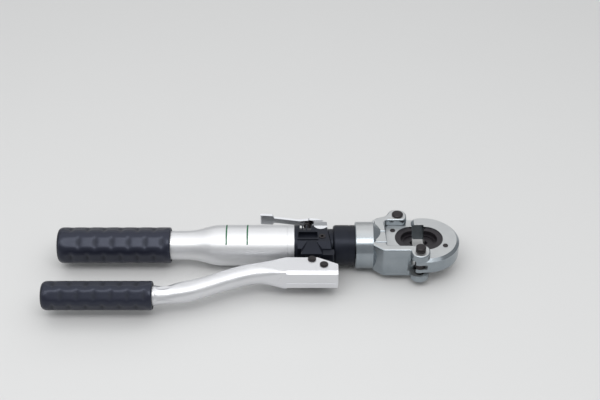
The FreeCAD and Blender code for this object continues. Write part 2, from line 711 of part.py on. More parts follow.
def suction_ball_x():
    standing = math.sqrt(CHECK_BALL_RADIUS ** 2 - VALVE_RING_BORE ** 2)
    return SUCTION_RING_X + VALVE_RING_LENGTH + standing + RUNNING_FIT


def delivery_ball_x():
    standing = math.sqrt(CHECK_BALL_RADIUS ** 2 - PASSAGE_RADIUS ** 2)
    return DELIVERY_SEAT_X + standing + RUNNING_FIT


def make_check_balls():
    suction = ball(suction_ball_x(), 0, 0, CHECK_BALL_RADIUS)
    delivery = ball(delivery_ball_x(), 0, 0, CHECK_BALL_RADIUS)
    return Part.makeCompound([suction, delivery])


def make_check_springs():
    suction_start = suction_ball_x() + CHECK_BALL_RADIUS + RUNNING_FIT
    suction_end = PLUNGER_X - PLUNGER_RADIUS - 1.5
    delivery_start = delivery_ball_x() + CHECK_BALL_RADIUS + RUNNING_FIT
    coil_radius = VALVE_BORE_RADIUS - 1.1
    suction = coil(vector(suction_start, 0, 0), AXIS_X, suction_end - suction_start, coil_radius, 0.4, 3)
    delivery = coil(vector(delivery_start, 0, 0), AXIS_X, DELIVERY_RING_X - delivery_start, coil_radius, 0.4, 4)
    return Part.makeCompound([suction, delivery])


def relief_ball_z():
    return RELIEF_BORE_BOTTOM + math.sqrt(RELIEF_BALL_RADIUS ** 2 - 1) + RUNNING_FIT


def make_relief_ball():
    return ball(RELIEF_X, RELIEF_Y, relief_ball_z(), RELIEF_BALL_RADIUS)


def make_relief_spring():
    low = relief_ball_z() + RELIEF_BALL_RADIUS + RUNNING_FIT
    return coil(vector(RELIEF_X, RELIEF_Y, low), AXIS_Z, RELIEF_SCREW_BOTTOM - low, 1.6, 0.35, 2)


def make_relief_screw():
    top = BLOCK_HALF_HEIGHT + 0.5
    screw = rod_z(RELIEF_X, RELIEF_Y, RELIEF_SCREW_BOTTOM, top, RELIEF_SCREW_RADIUS - ASSEMBLY_FIT)
    return screw.cut(hex_socket(RELIEF_X, RELIEF_Y, top - 2.5, top + 1, 3.0))


def make_ram_cylinder():
    left = CYLINDER_LEFT
    right = CYLINDER_RIGHT
    spigot = SWIVEL_RADIUS - RUNNING_FIT
    ring_right = right - CYLINDER_RING_PLACE
    ring_left = ring_right - CYLINDER_RING_WIDTH
    ring_floor = CYLINDER_RADIUS - CYLINDER_RING_DEPTH
    bend = CYLINDER_ROUND * (1 - math.sqrt(0.5))
    shoulder = Part.Arc(vector(left, 0, CYLINDER_RADIUS - CYLINDER_ROUND),
                        vector(left + bend, 0, CYLINDER_RADIUS - bend),
                        vector(left + CYLINDER_ROUND, 0, CYLINDER_RADIUS)).toShape()
    path = [(left + CYLINDER_ROUND, CYLINDER_RADIUS), (ring_left, CYLINDER_RADIUS), (ring_left, ring_floor),
            (ring_right, ring_floor), (ring_right, CYLINDER_RADIUS), (right, CYLINDER_RADIUS), (right, spigot),
            (CYLINDER_END, spigot), (CYLINDER_END, CYLINDER_BORE), (left, CYLINDER_BORE),
            (left, CYLINDER_RADIUS - CYLINDER_ROUND)]
    straight = Part.makePolygon([vector(x, 0, radius) for x, radius in path])
    outline = Part.Wire([shoulder] + straight.Edges)
    cylinder = Part.Face(outline).revolve(vector(0, 0, 0), AXIS_X, 360)
    groove = Part.makeTorus(SWIVEL_RADIUS, SNAP_RING_RADIUS + RUNNING_FIT, snap_ring_centre(), AXIS_X)
    return cylinder.cut(groove)


def snap_ring_centre():
    return vector(CYLINDER_RIGHT + SNAP_RING_PLACE, 0, 0)


def make_snap_ring():
    return Part.makeTorus(SWIVEL_RADIUS, SNAP_RING_RADIUS, snap_ring_centre(), AXIS_X)


def make_rod_gland():
    outer = CYLINDER_BORE - ASSEMBLY_FIT
    inner = ROD_RADIUS + RUNNING_FIT
    return turned([(GLAND_LEFT, inner), (CYLINDER_END, inner), (CYLINDER_END, outer), (GLAND_LEFT, outer)])


def make_return_spring():
    return coil(vector(PISTON_RIGHT, 0, 0), AXIS_X, GLAND_LEFT - PISTON_RIGHT, RETURN_COIL_RADIUS,
                RETURN_WIRE_RADIUS, RETURN_TURNS)


# Release lever and its valve

def make_release_lever():
    """Curved lever: a tall hub in the block's pocket, a low arm over the tube and a thumb paddle."""
    right = LEVER_PIVOT_X + LEVER_HUB_RADIUS
    left = LEVER_PIVOT_X - LEVER_HUB_RADIUS
    paddle_right = PADDLE_LEFT + PADDLE_LENGTH
    plan = [(right, LEVER_PIVOT_Y), (right - 0.8, 36.6, 13), (5, 40.2, 40), (paddle_right, 45.4, 40),
            (PADDLE_LEFT, 46.6, 1.4), (PADDLE_LEFT, 43.2, 1.4), (paddle_right, 42.2, 20), (5, 37.1, 40),
            (left + 0.6, 34.2, 5), (left, LEVER_PIVOT_Y)]
    tall = LEVER_HALF_HEIGHT
    low = LEVER_ARM_HALF_HEIGHT
    top = LEVER_HUB_TOP
    side = [(PADDLE_LEFT - 1, -tall), (paddle_right, -tall, 1), (paddle_right + 1, -low, 1), (6, -low, 12),
            (18, -tall, 12), (right + 1, -tall), (right + 1, top), (18, top), (18, tall, 5), (6, low, 12),
            (paddle_right + 1, low, 1), (paddle_right, tall, 1), (PADDLE_LEFT - 1, tall)]
    section = [(0, -tall), (60, -tall), (60, tall), (33.5, tall, 6), (24, 13, 12), (14, top, 12), (0, top)]
    hub = rod_z(LEVER_PIVOT_X, LEVER_PIVOT_Y, -tall, top, LEVER_HUB_RADIUS)
    lever = joined(plate(plan, -tall, top), hub)
    lever = lever.common(prism_y(side, 0, 60)).common(prism_x(section, PADDLE_LEFT - 1, right + 1))
    bore_top = LEVER_PIN_TOP + FACE_GAP
    return lever.cut(rod_z(LEVER_PIVOT_X, LEVER_PIVOT_Y, -30, bore_top, LEVER_PIN_RADIUS + RUNNING_FIT))


def make_lever_pin():
    bottom = -math.sqrt(BLOCK_RADIUS ** 2 - (LEVER_PIVOT_Y + LEVER_PIN_RADIUS) ** 2)
    return rod_z(LEVER_PIVOT_X, LEVER_PIVOT_Y, bottom, LEVER_PIN_TOP, LEVER_PIN_RADIUS)


def make_release_pin():
    """Spool of the release valve: pressed in, its waist lets the oil back into the tube."""
    stem = rod_y(RELEASE_PIN_INNER_END, RELEASE_PIN_OUTER_END, RELEASE_PIN_RADIUS, RELEASE_PIN_X)
    rims = [edge for edge in stem.Edges if edge.BoundBox.YMin > RELEASE_PIN_OUTER_END - 0.01]
    stem = stem.makeChamfer(0.6, rims)
    collar = rod_y(RELEASE_COLLAR_Y, RELEASE_COLLAR_Y + RELEASE_COLLAR_LENGTH, RELEASE_COLLAR_RADIUS, RELEASE_PIN_X)
    waist_end = RELEASE_WAIST_Y + RELEASE_WAIST_LENGTH
    waist = rod_y(RELEASE_WAIST_Y, waist_end, RELEASE_PIN_RADIUS + 1, RELEASE_PIN_X)
    waist = waist.cut(rod_y(RELEASE_WAIST_Y, waist_end, RELEASE_WAIST, RELEASE_PIN_X))
    middle = (RELEASE_WAIST_Y + waist_end) / 2
    oil_hole = rod_y(RELEASE_PIN_INNER_END - 1, middle, RELEASE_OIL_HOLE, RELEASE_PIN_X)
    cross_hole = rod_x(RELEASE_PIN_X - 5, RELEASE_PIN_X + 5, RELEASE_OIL_HOLE, middle)
    return joined(stem, collar).cut([waist, oil_hole, cross_hole])


def make_release_spring():
    length = RELEASE_COLLAR_Y - SPOT_FACE_Y
    return coil(vector(RELEASE_PIN_X, SPOT_FACE_Y, 0), AXIS_Y, length, RELEASE_PIN_RADIUS + 0.95, 0.45, 5)


# Plunger and moving handle

def make_plunger():
    tongue_low = DRIVE_PIN_Y - TONGUE_RIGHT
    rod = rod_y(-BOSS_REACH, PLUNGER_INNER_END, PLUNGER_RADIUS, PLUNGER_X)
    corners = [(PLUNGER_X - TONGUE_LEFT, tongue_low, 4), (PLUNGER_X + TONGUE_RIGHT, tongue_low, 4),
               (PLUNGER_X + TONGUE_RIGHT, -BOSS_REACH - FACE_GAP, 1), (PLUNGER_X - TONGUE_LEFT, -BOSS_REACH - FACE_GAP, 1)]
    tongue = plate(corners, -TONGUE_HALF_THICKNESS, TONGUE_HALF_THICKNESS)
    plunger = joined(rod, rod_y(-BOSS_REACH - 3, -BOSS_REACH + 1, PLUNGER_RADIUS, PLUNGER_X), tongue)
    radius = DRIVE_PIN_RADIUS + EYE_PLAY
    slot = [(PLUNGER_X - EYE_SLOT_LEFT - radius, DRIVE_PIN_Y - radius, radius - 0.01),
            (PLUNGER_X + radius, DRIVE_PIN_Y - radius, radius - 0.01),
            (PLUNGER_X + radius, DRIVE_PIN_Y + radius, radius - 0.01),
            (PLUNGER_X - EYE_SLOT_LEFT - radius, DRIVE_PIN_Y + radius, radius - 0.01)]
    return plunger.cut(plate(slot, -20, 20))


def handle_section(place, direction, half_width, half_height, front_corner, back_corner):
    """Rounded section across the handle's centreline, turned to the line's direction there."""
    corners = [(-half_width, -half_height, front_corner), (half_width, -half_height, back_corner),
               (half_width, half_height, back_corner), (-half_width, half_height, front_corner)]
    wire = rounded_outline(corners, 0)
    wire.rotate(vector(0, 0, 0), vector(1, 1, 1), 120)
    wire.rotate(vector(0, 0, 0), AXIS_Z, direction)
    wire.translate(vector(place[0], place[1], 0))
    return wire


def box_section():
    middle = (HANDLE_BACK + HANDLE_FRONT) / 2
    half = (HANDLE_BACK - HANDLE_FRONT) / 2
    return handle_section((HANDLE_BOX_LEFT, middle), 0, half, HANDLE_HALF_HEIGHT, HANDLE_CORNER, HANDLE_BACK_CORNER)


def bevelled_bar(left, right):
    """Bar with the box end's section, its two front edges cut at 45 degrees."""
    high = HANDLE_HALF_HEIGHT
    bevel_y = HANDLE_FRONT + HANDLE_BEVEL
    bevel_z = high - HANDLE_BEVEL
    back_round = HANDLE_BACK_CORNER
    corners = [(HANDLE_FRONT, -bevel_z), (bevel_y, -high), (HANDLE_BACK, -high, back_round),
               (HANDLE_BACK, high, back_round), (bevel_y, high), (HANDLE_FRONT, bevel_z)]
    return prism_x(corners, left, right)


def handle_lip():
    """Pointed end of the flat front face, where it runs out on the round shank."""
    right = HANDLE_BOX_LEFT + 1
    point = [(HANDLE_LIP_LEFT, 0), (HANDLE_BOX_LEFT, -HANDLE_HALF_HEIGHT), (right, -HANDLE_HALF_HEIGHT),
             (right, HANDLE_HALF_HEIGHT), (HANDLE_BOX_LEFT, HANDLE_HALF_HEIGHT)]
    lip = prism_y(point, HANDLE_FRONT - 1, HANDLE_FRONT + HANDLE_LIP_DEPTH)
    return lip.common(bevelled_bar(HANDLE_LIP_LEFT - 1, right + 1))


def handle_box():
    """Box end of the handle with a slanting corner beside the cylinder."""
    bar = bevelled_bar(HANDLE_BOX_LEFT, HANDLE_BOX_RIGHT)
    left = HANDLE_BOX_LEFT - 1
    plan = [(left, HANDLE_FRONT - 1), (HANDLE_BOX_RIGHT, HANDLE_FRONT - 1), (HANDLE_BOX_RIGHT, HANDLE_RIGHT_BACK, 2),
            (HANDLE_FLAT_END, HANDLE_BACK, 8), (left, HANDLE_BACK + 0.01)]
    return bar.common(plate(plan, -20, 20))


def handle_shank():
    """Bent shank from the box end to the grip, lofted through sections along the centreline."""
    tube = HANDLE_TUBE_RADIUS
    round_corner = tube - 0.3
    sections = [
        box_section(),
        handle_section((-20, -45.2), 0, 11.8, 11.4, 6.0, 6.0),
        handle_section((-33, -45.4), 3, 10.9, 10.9, 9.5, 9.5),
        handle_section((-50, -48.6), 18, 10.6, 10.6, 10.2, 10.2),
        handle_section((-72, -57.4), 25, tube, tube, round_corner, round_corner),
        handle_section((-97, -69.0), 24, tube, tube, round_corner, round_corner),
        handle_section((HANDLE_SHANK_END + 22, HANDLE_GRIP_Y + 3.2), 13, tube, tube, round_corner, round_corner),
        handle_section((HANDLE_SHANK_END, HANDLE_GRIP_Y), 0, tube, tube, round_corner, round_corner),
    ]
    return Part.makeLoft(sections, True)


def make_moving_handle():
    body = joined(
        handle_box(),
        handle_lip(),
        handle_shank(),
        rod_x(HANDLE_TUBE_END, HANDLE_SHANK_END, HANDLE_TUBE_RADIUS, HANDLE_GRIP_Y),
        block((HANDLE_BOX_LEFT, HANDLE_BOX_RIGHT - 2), (HANDLE_FRONT - PARTING_RIB_DEPTH, HANDLE_FRONT + 1),
              (PARTING_RIB_Z - PARTING_RIB_HEIGHT, PARTING_RIB_Z)),
    )
    slot = block((HANDLE_SLOT_LEFT, HANDLE_BOX_RIGHT + 1), (HANDLE_FRONT + HANDLE_FRONT_WALL, HANDLE_BACK + 1),
                 (-LUG_CLEARANCE_SLOT, LUG_CLEARANCE_SLOT))
    pivot_hole = rod_z(PIVOT_X, PIVOT_Y, -20, 20, PIVOT_PIN_RADIUS + RUNNING_FIT)
    drive_hole = rod_z(PLUNGER_X, DRIVE_PIN_Y, -20, 20, DRIVE_PIN_RADIUS + ASSEMBLY_FIT)
    return body.cut([slot, pivot_hole, drive_hole])


def make_drive_pin():
    half = HANDLE_HALF_HEIGHT + 1.6
    return rod_z(PLUNGER_X, DRIVE_PIN_Y, -half, half, DRIVE_PIN_RADIUS)


def make_handle_grip():
    left = HANDLE_TUBE_END - HANDLE_GRIP_END_WALL
    right = left + HANDLE_GRIP_LENGTH
    grip = grip_body(left, right, HANDLE_GRIP_RADIUS, HANDLE_GRIP_Y)
    grip = grip.cut(rod_x(HANDLE_TUBE_END, right + 1, HANDLE_TUBE_RADIUS + ASSEMBLY_FIT, HANDLE_GRIP_Y))
    return grip.cut(grip_cuts(left, right, HANDLE_GRIP_RADIUS, HANDLE_GRIP_ROW_ANGLE, HANDLE_HOLLOW_START,
                              HANDLE_HOLLOW_PITCH, HANDLE_GRIP_Y))


# Crimping head

def head_outline():
    """Fork seen from above: hinge lug at the back, square block and round lock boss at the front."""
    lug_top = HINGE_Y + HINGE_LUG_RADIUS
    lug_right = HINGE_X + HINGE_LUG_RADIUS
    boss_left = LOCK_X - BOSS_RADIUS
    boss_right = LOCK_X + BOSS_RADIUS
    boss_front = LOCK_Y - BOSS_RADIUS
    inner = CHANNEL_HALF_WIDTH
    return [
        (SOCKET_RIGHT, 20.5), (88, 24.6, 4), (98.5, 28.4, 8), (103.5, lug_top, 8),
        (lug_right, lug_top, HINGE_LUG_RADIUS - 0.2), (lug_right, inner, 5), (CHANNEL_WALL_X, inner, 3),
        (CHANNEL_WALL_X, -inner, 3), (boss_right, -inner, 7), (boss_right, boss_front, BOSS_RADIUS - 0.3),
        (boss_left, boss_front, BOSS_RADIUS - 0.3), (boss_left, FRONT_FACE_Y, 1), (94, FRONT_FACE_Y, 4),
        (88, -24.8, 4), (SOCKET_RIGHT, -21.0),
    ]


def head_fork():
    """Fork plates with their outside top and bottom edges rounded."""
    fork = plate(head_outline(), -HEAD_HALF_HEIGHT, HEAD_HALF_HEIGHT)
    edges = []
    for edge in fork.Edges:
        bounds = edge.BoundBox
        flat = bounds.ZLength < 0.001
        middle = edge.CenterOfMass
        in_channel = abs(middle.y) < CHANNEL_HALF_WIDTH + 1.6 and middle.x > CHANNEL_WALL_X - 1
        at_socket = bounds.XMax < SOCKET_RIGHT + 0.01
        if flat and not in_channel and not at_socket:
            edges.append(edge)
    return fork.makeFillet(HEAD_EDGE_ROUND, edges)


def bevelled_pad(corners):
    low = HEAD_HALF_HEIGHT - 1
    pad = plate(corners, low, HEAD_HALF_HEIGHT + PAD_HEIGHT)
    top_edges = [edge for edge in pad.Edges if edge.BoundBox.ZMin > HEAD_HALF_HEIGHT + PAD_HEIGHT - 0.01]
    return pad.makeChamfer(PAD_BEVEL, top_edges)


def neck_pads():
    """Two raised pads on the neck, one each side of the ram axis."""
    back = [(85.5, 1.0), (96.5, 1.0), (95.5, 17.5), (85.5, 17.5)]
    front = [(85.5, -17.0), (97.3, -17.0), (96.8, -1.0), (85.5, -1.0)]
    return [bevelled_pad(back), bevelled_pad(front)]


def make_head_base():
    socket = turned([(SOCKET_LEFT, 0), (SOCKET_LEFT, SOCKET_RADIUS - SOCKET_CHAMFER),
                     (SOCKET_LEFT + SOCKET_CHAMFER, SOCKET_RADIUS), (SOCKET_RIGHT, SOCKET_RADIUS),
                     (SOCKET_RIGHT + SHOULDER_LENGTH, SHOULDER_RADIUS), (SOCKET_RIGHT + SHOULDER_LENGTH, 0)])
    body = joined(head_fork(), socket, *neck_pads())
    bore_end = CYLINDER_END + FACE_GAP
    cheek = CHEEK_INNER
    tongue_slot = YOKE_TONGUE_HALF_HEIGHT + FACE_GAP
    tools = [
        rod_x(SOCKET_LEFT - 1, bore_end, SWIVEL_RADIUS),
        rod_x(bore_end - 1, CHANNEL_WALL_X + 1, ROD_HOLE_RADIUS),
        rod_x(CHANNEL_WALL_X - WIPER_LENGTH, CHANNEL_WALL_X + 1, WIPER_RADIUS),
        Part.makeTorus(SWIVEL_RADIUS, SNAP_RING_RADIUS + RUNNING_FIT, snap_ring_centre(), AXIS_X),
        block((FRONT_BLOCK_RIGHT, FRONT_BLOCK_RIGHT + CLEAR_CUT), (-CLEAR_CUT, 0), (-cheek, cheek)),
        block((HINGE_SLOT_LEFT, HINGE_SLOT_LEFT + CLEAR_CUT), (CHANNEL_HALF_WIDTH - 1, CLEAR_CUT),
              (-tongue_slot, tongue_slot)),
        rod_z(HINGE_X, HINGE_Y, -30, 30, HINGE_PIN_RADIUS + ASSEMBLY_FIT),
        rod_z(LOCK_X, LOCK_Y, -30, 30, LOCK_PIN_RADIUS + RUNNING_FIT),
        block((96, FRONT_BLOCK_RIGHT - 1.5), (FRONT_FACE_Y - 1, FRONT_FACE_Y + PANEL_DEPTH), (-14, 3.5)),
    ]
    return body.cut(tools)


def make_rod_wiper():
    right = CHANNEL_WALL_X
    outer = WIPER_RADIUS - ASSEMBLY_FIT
    inner = ROD_RADIUS + RUNNING_FIT
    return turned([(right - WIPER_LENGTH, inner), (right, inner), (right, outer), (right - WIPER_LENGTH, outer)])


def make_hinge_pin():
    half = HEAD_HALF_HEIGHT + 1.6
    pin = rod_z(HINGE_X, HINGE_Y, -half, half, HINGE_PIN_RADIUS)
    rims = [edge for edge in pin.Edges if edge.BoundBox.ZLength < 0.001]
    return pin.makeChamfer(0.5, rims)


def make_hinge_clips():
    low = HEAD_HALF_HEIGHT + 0.1
    upper = ring_z(HINGE_X, HINGE_Y, low, low + 1, HINGE_CLIP_RADIUS, HINGE_PIN_RADIUS + ASSEMBLY_FIT)
    lower = ring_z(HINGE_X, HINGE_Y, -low - 1, -low, HINGE_CLIP_RADIUS, HINGE_PIN_RADIUS + ASSEMBLY_FIT)
    return Part.makeCompound([upper, lower])


def make_lock_pin():
    """Lock pin drawn out to its released place: waists stand in the yoke's two fingers.

    Pushed in by its stroke, the lands fill the fingers' keyholes and the foot comes flush below."""
    top = HEAD_HALF_HEIGHT + LOCK_HEAD_HEIGHT
    land = LOCK_LAND / 2
    full = LOCK_PIN_RADIUS
    waist = LOCK_WAIST_RADIUS
    groove_low = HEAD_HALF_HEIGHT + LOCK_HEAD_HEIGHT / 2 - 0.4
    groove_high = groove_low + LOCK_GROOVE_HEIGHT
    foot = LOCK_STROKE - HEAD_HALF_HEIGHT
    profile = [
        (0, foot), (full, foot), (full, -YOKE_HALF_HEIGHT - 0.3), (waist, -YOKE_HALF_HEIGHT - 0.3), (waist, -land),
        (full, -land), (full, land), (waist, land), (waist, YOKE_HALF_HEIGHT + 0.3), (full, YOKE_HALF_HEIGHT + 0.3),
        (full, groove_low), (LOCK_GROOVE_RADIUS, groove_low), (LOCK_GROOVE_RADIUS, groove_high), (full, groove_high),
        (full, top - 0.8), (full - 0.8, top), (0, top),
    ]
    return turned_about_z(LOCK_X, LOCK_Y, profile)


# Yoke and dies

def yoke_ring():
    """C-shaped body of the yoke with bevelled outside edges."""
    right = DIE_FIXED_X + YOKE_RADIUS
    side = YOKE_RADIUS
    corners = [(YOKE_SHOULDER_X, 4), (YOKE_SHOULDER_X, side - 1.2, 7), (DIE_FIXED_X - 3, side, 30),
               (right, side, side), (right, -side, side), (DIE_FIXED_X - 3, -side, 20),
               (YOKE_ARM_END_X, YOKE_ARM_SIDE, 8.2), (YOKE_ARM_END_X, -4)]
    body = plate(corners, -YOKE_HALF_HEIGHT, YOKE_HALF_HEIGHT)
    level_edges = [edge for edge in body.Edges if edge.BoundBox.ZLength < 0.001]
    return body.makeChamfer(YOKE_BEVEL, level_edges)


def yoke_tongue():
    """Hinge tongue that runs between the lug's cheeks."""
    corners = [(HINGE_X, HINGE_Y - TONGUE_RADIUS + 0.6), (YOKE_SHOULDER_X + 3, YOKE_INNER_HALF_WIDTH),
               (YOKE_SHOULDER_X + 3, 34.6), (HINGE_X, HINGE_Y + TONGUE_RADIUS)]
    half = YOKE_TONGUE_HALF_HEIGHT
    hub = rod_z(HINGE_X, HINGE_Y, -half, half, TONGUE_RADIUS)
    return joined(plate(corners, -half, half), hub)


def keyhole_slot():
    """Slot that lets the lock pin's waist leave the finger as the yoke swings about its hinge."""
    swing = math.hypot(LOCK_X - HINGE_X, LOCK_Y - HINGE_Y)
    start = math.degrees(math.atan2(LOCK_Y - HINGE_Y, LOCK_X - HINGE_X))
    sweep = 16.0
    low = -20
    outer = Part.makeCylinder(swing + LOCK_SLOT_HALF_WIDTH, 40, vector(HINGE_X, HINGE_Y, low), AXIS_Z, sweep)
    inner = Part.makeCylinder(swing - LOCK_SLOT_HALF_WIDTH, 42, vector(HINGE_X, HINGE_Y, low - 1), AXIS_Z)
    arc = outer.cut(inner)
    arc.rotate(vector(HINGE_X, HINGE_Y, 0), AXIS_Z, start - sweep)
    return arc


def die_pin_place(face_x, side):
    """Centre of a die-lock pin; side is -1 for the moving die and 1 for the fixed die."""
    angle = math.radians(DIE_PIN_ANGLE)
    return face_x + side * DIE_PIN_DISTANCE * math.cos(angle), -side * DIE_PIN_DISTANCE * math.sin(angle)


def die_ball_place(face_x, side):
    angle = math.radians(DIE_PIN_ANGLE)
    distance = DIE_PIN_DISTANCE - DIE_PIN_RADIUS - DIE_BALL_RADIUS - RUNNING_FIT
    return face_x + side * distance * math.cos(angle), -side * distance * math.sin(angle)


def die_pin_cavity(face_x, side):
    """Bore for a die-lock pin and the cross hole for its ball."""
    x, y = die_pin_place(face_x, side)
    centre_x, centre_y = die_ball_place(face_x, side)
    bore = rod_z(x, y, DIE_PIN_BORE_BOTTOM, 20, DIE_PIN_RADIUS + RUNNING_FIT)
    inward = vector(face_x - x, -y, 0)
    cross = Part.makeCylinder(DIE_BALL_RADIUS + RUNNING_FIT, DIE_PIN_DISTANCE - DIE_RADIUS + 1.5, vector(x, y, 0), inward)
    return [bore, cross]


def make_yoke():
    body = joined(yoke_ring(), yoke_tongue())
    channel = block((90, DIE_FIXED_X), (-YOKE_INNER_HALF_WIDTH, YOKE_INNER_HALF_WIDTH), (-20, 20))
    tongue_room = yoke_tongue()
    channel = channel.cut(tongue_room)
    tools = [
        channel,
        rod_z(DIE_FIXED_X, 0, -20, 20, DIE_RADIUS + ASSEMBLY_FIT),
        rod_z(HINGE_X, HINGE_Y, -20, 20, HINGE_PIN_RADIUS + RUNNING_FIT),
        block((YOKE_ARM_END_X - 1, FINGER_GAP_END), (-50, -YOKE_INNER_HALF_WIDTH + 1), (-FINGER_INNER, FINGER_INNER)),
        rod_z(LOCK_X, LOCK_Y, -20, 20, LOCK_PIN_RADIUS + RUNNING_FIT),
        keyhole_slot(),
    ]
    return body.cut(tools + die_pin_cavity(DIE_FIXED_X, 1))


def make_die(face_x, side):
    """Half die with recessed faces, a half hexagon across the web and rebated corners."""
    low = -DIE_HALF_HEIGHT
    high = DIE_HALF_HEIGHT
    disc = rod_z(face_x, 0, low, high, DIE_RADIUS)
    x_range = sorted([face_x, face_x + side * (DIE_RADIUS + 1)])
    die = disc.common(block(x_range, (-DIE_RADIUS, DIE_RADIUS), (low, high)))
    recess_floor = high - DIE_RECESS_DEPTH
    step_floor = recess_floor - DIE_STEP_DEPTH
    tools = [hex_socket(face_x, 0, low - 1, high + 1, DIE_HEX_RADIUS * math.sqrt(3))]
    for sign in (-1, 1):
        recess = rod_z(face_x, 0, recess_floor, high + 1, DIE_RECESS_RADIUS)
        step = rod_z(face_x, 0, step_floor, high + 1, DIE_STEP_RADIUS)
        if sign < 0:
            recess = recess.mirror(vector(0, 0, 0), AXIS_Z)
            step = step.mirror(vector(0, 0, 0), AXIS_Z)
        tools += [recess, step]
        edge_range = sorted([sign * (DIE_RADIUS - DIE_REBATE), sign * (DIE_RADIUS + 1)])
        corner_range = sorted([face_x - side, face_x + side * DIE_REBATE])
        tools.append(block(corner_range, edge_range, (low - 1, high + 1)))
    centre_x, centre_y = die_ball_place(face_x, side)
    tools.append(ball(centre_x, centre_y, 0, DIE_BALL_RADIUS + RUNNING_FIT))
    return die.cut(tools)


def make_die_pin(face_x, side, top):
    """Push pin whose land holds a ball in the die; pressed in, its waist lets the ball back."""
    x, y = die_pin_place(face_x, side)
    full = DIE_PIN_RADIUS
    waist = DIE_PIN_WAIST
    profile = [(0, DIE_PIN_BOTTOM), (full, DIE_PIN_BOTTOM), (full, DIE_WAIST_BOTTOM), (waist, DIE_WAIST_BOTTOM + 0.5),
               (waist, DIE_WAIST_TOP), (full, DIE_WAIST_TOP), (full, top - 0.4), (full - 0.4, top), (0, top)]
    return turned_about_z(x, y, profile)


def make_die_ball(face_x, side):
    x, y = die_ball_place(face_x, side)
    return ball(x, y, 0, DIE_BALL_RADIUS)


def make_die_spring(face_x, side):
    x, y = die_pin_place(face_x, side)
    length = DIE_PIN_BOTTOM - DIE_PIN_BORE_BOTTOM
    return coil(vector(x, y, DIE_PIN_BORE_BOTTOM), AXIS_Z, length, 1.8, 0.35, 3)


# Ram

def make_ram_piston():
    radius = CYLINDER_BORE - RUNNING_FIT
    seal_left = PISTON_LEFT + (PISTON_LENGTH - PISTON_SEAL_LENGTH) / 2
    seal_right = seal_left + PISTON_SEAL_LENGTH
    floor = radius - PISTON_SEAL_DEPTH
    spigot_end = NOSE_LEFT + ROD_SPIGOT_LENGTH
    piston = turned([(PISTON_LEFT, 0), (PISTON_LEFT, radius), (seal_left, radius), (seal_left, floor),
                     (seal_right, floor), (seal_right, radius), (PISTON_RIGHT, radius), (PISTON_RIGHT, ROD_RADIUS),
                     (NOSE_LEFT, ROD_RADIUS), (NOSE_LEFT, ROD_SPIGOT_RADIUS), (spigot_end, ROD_SPIGOT_RADIUS),
                     (spigot_end, 0)])
    return piston.cut(rod_y(-20, 20, NOSE_PIN_RADIUS + ASSEMBLY_FIT, NOSE_PIN_X))


def make_piston_seal():
    outer = CYLINDER_BORE - RUNNING_FIT
    left = PISTON_LEFT + (PISTON_LENGTH - PISTON_SEAL_LENGTH) / 2 + ASSEMBLY_FIT
    right = left + PISTON_SEAL_LENGTH - 2 * ASSEMBLY_FIT
    inner = outer - PISTON_SEAL_DEPTH + ASSEMBLY_FIT
    return turned([(left, inner), (right, inner), (right, outer), (left, outer)])


def make_ram_nose():
    """Die holder on the end of the rod, with the seat of the moving die."""
    width = NOSE_HALF_WIDTH
    corners = [(NOSE_LEFT, -width, 4), (DIE_FACE_X, -width, 0.8), (DIE_FACE_X, width, 0.8), (NOSE_LEFT, width, 4)]
    nose = plate(corners, -NOSE_HALF_HEIGHT, NOSE_HALF_HEIGHT)
    tools = [
        rod_z(DIE_FACE_X, 0, -20, 20, DIE_RADIUS + ASSEMBLY_FIT),
        rod_x(NOSE_LEFT - 1, NOSE_LEFT + ROD_SPIGOT_LENGTH, ROD_SPIGOT_RADIUS + ASSEMBLY_FIT),
        rod_y(-40, NOSE_PIN_BACK + FACE_GAP, NOSE_PIN_RADIUS + ASSEMBLY_FIT, NOSE_PIN_X),
    ]
    return nose.cut(tools + die_pin_cavity(DIE_FACE_X, -1))


def make_nose_pin():
    return rod_y(FACE_GAP - NOSE_HALF_WIDTH, NOSE_PIN_BACK, NOSE_PIN_RADIUS, NOSE_PIN_X)


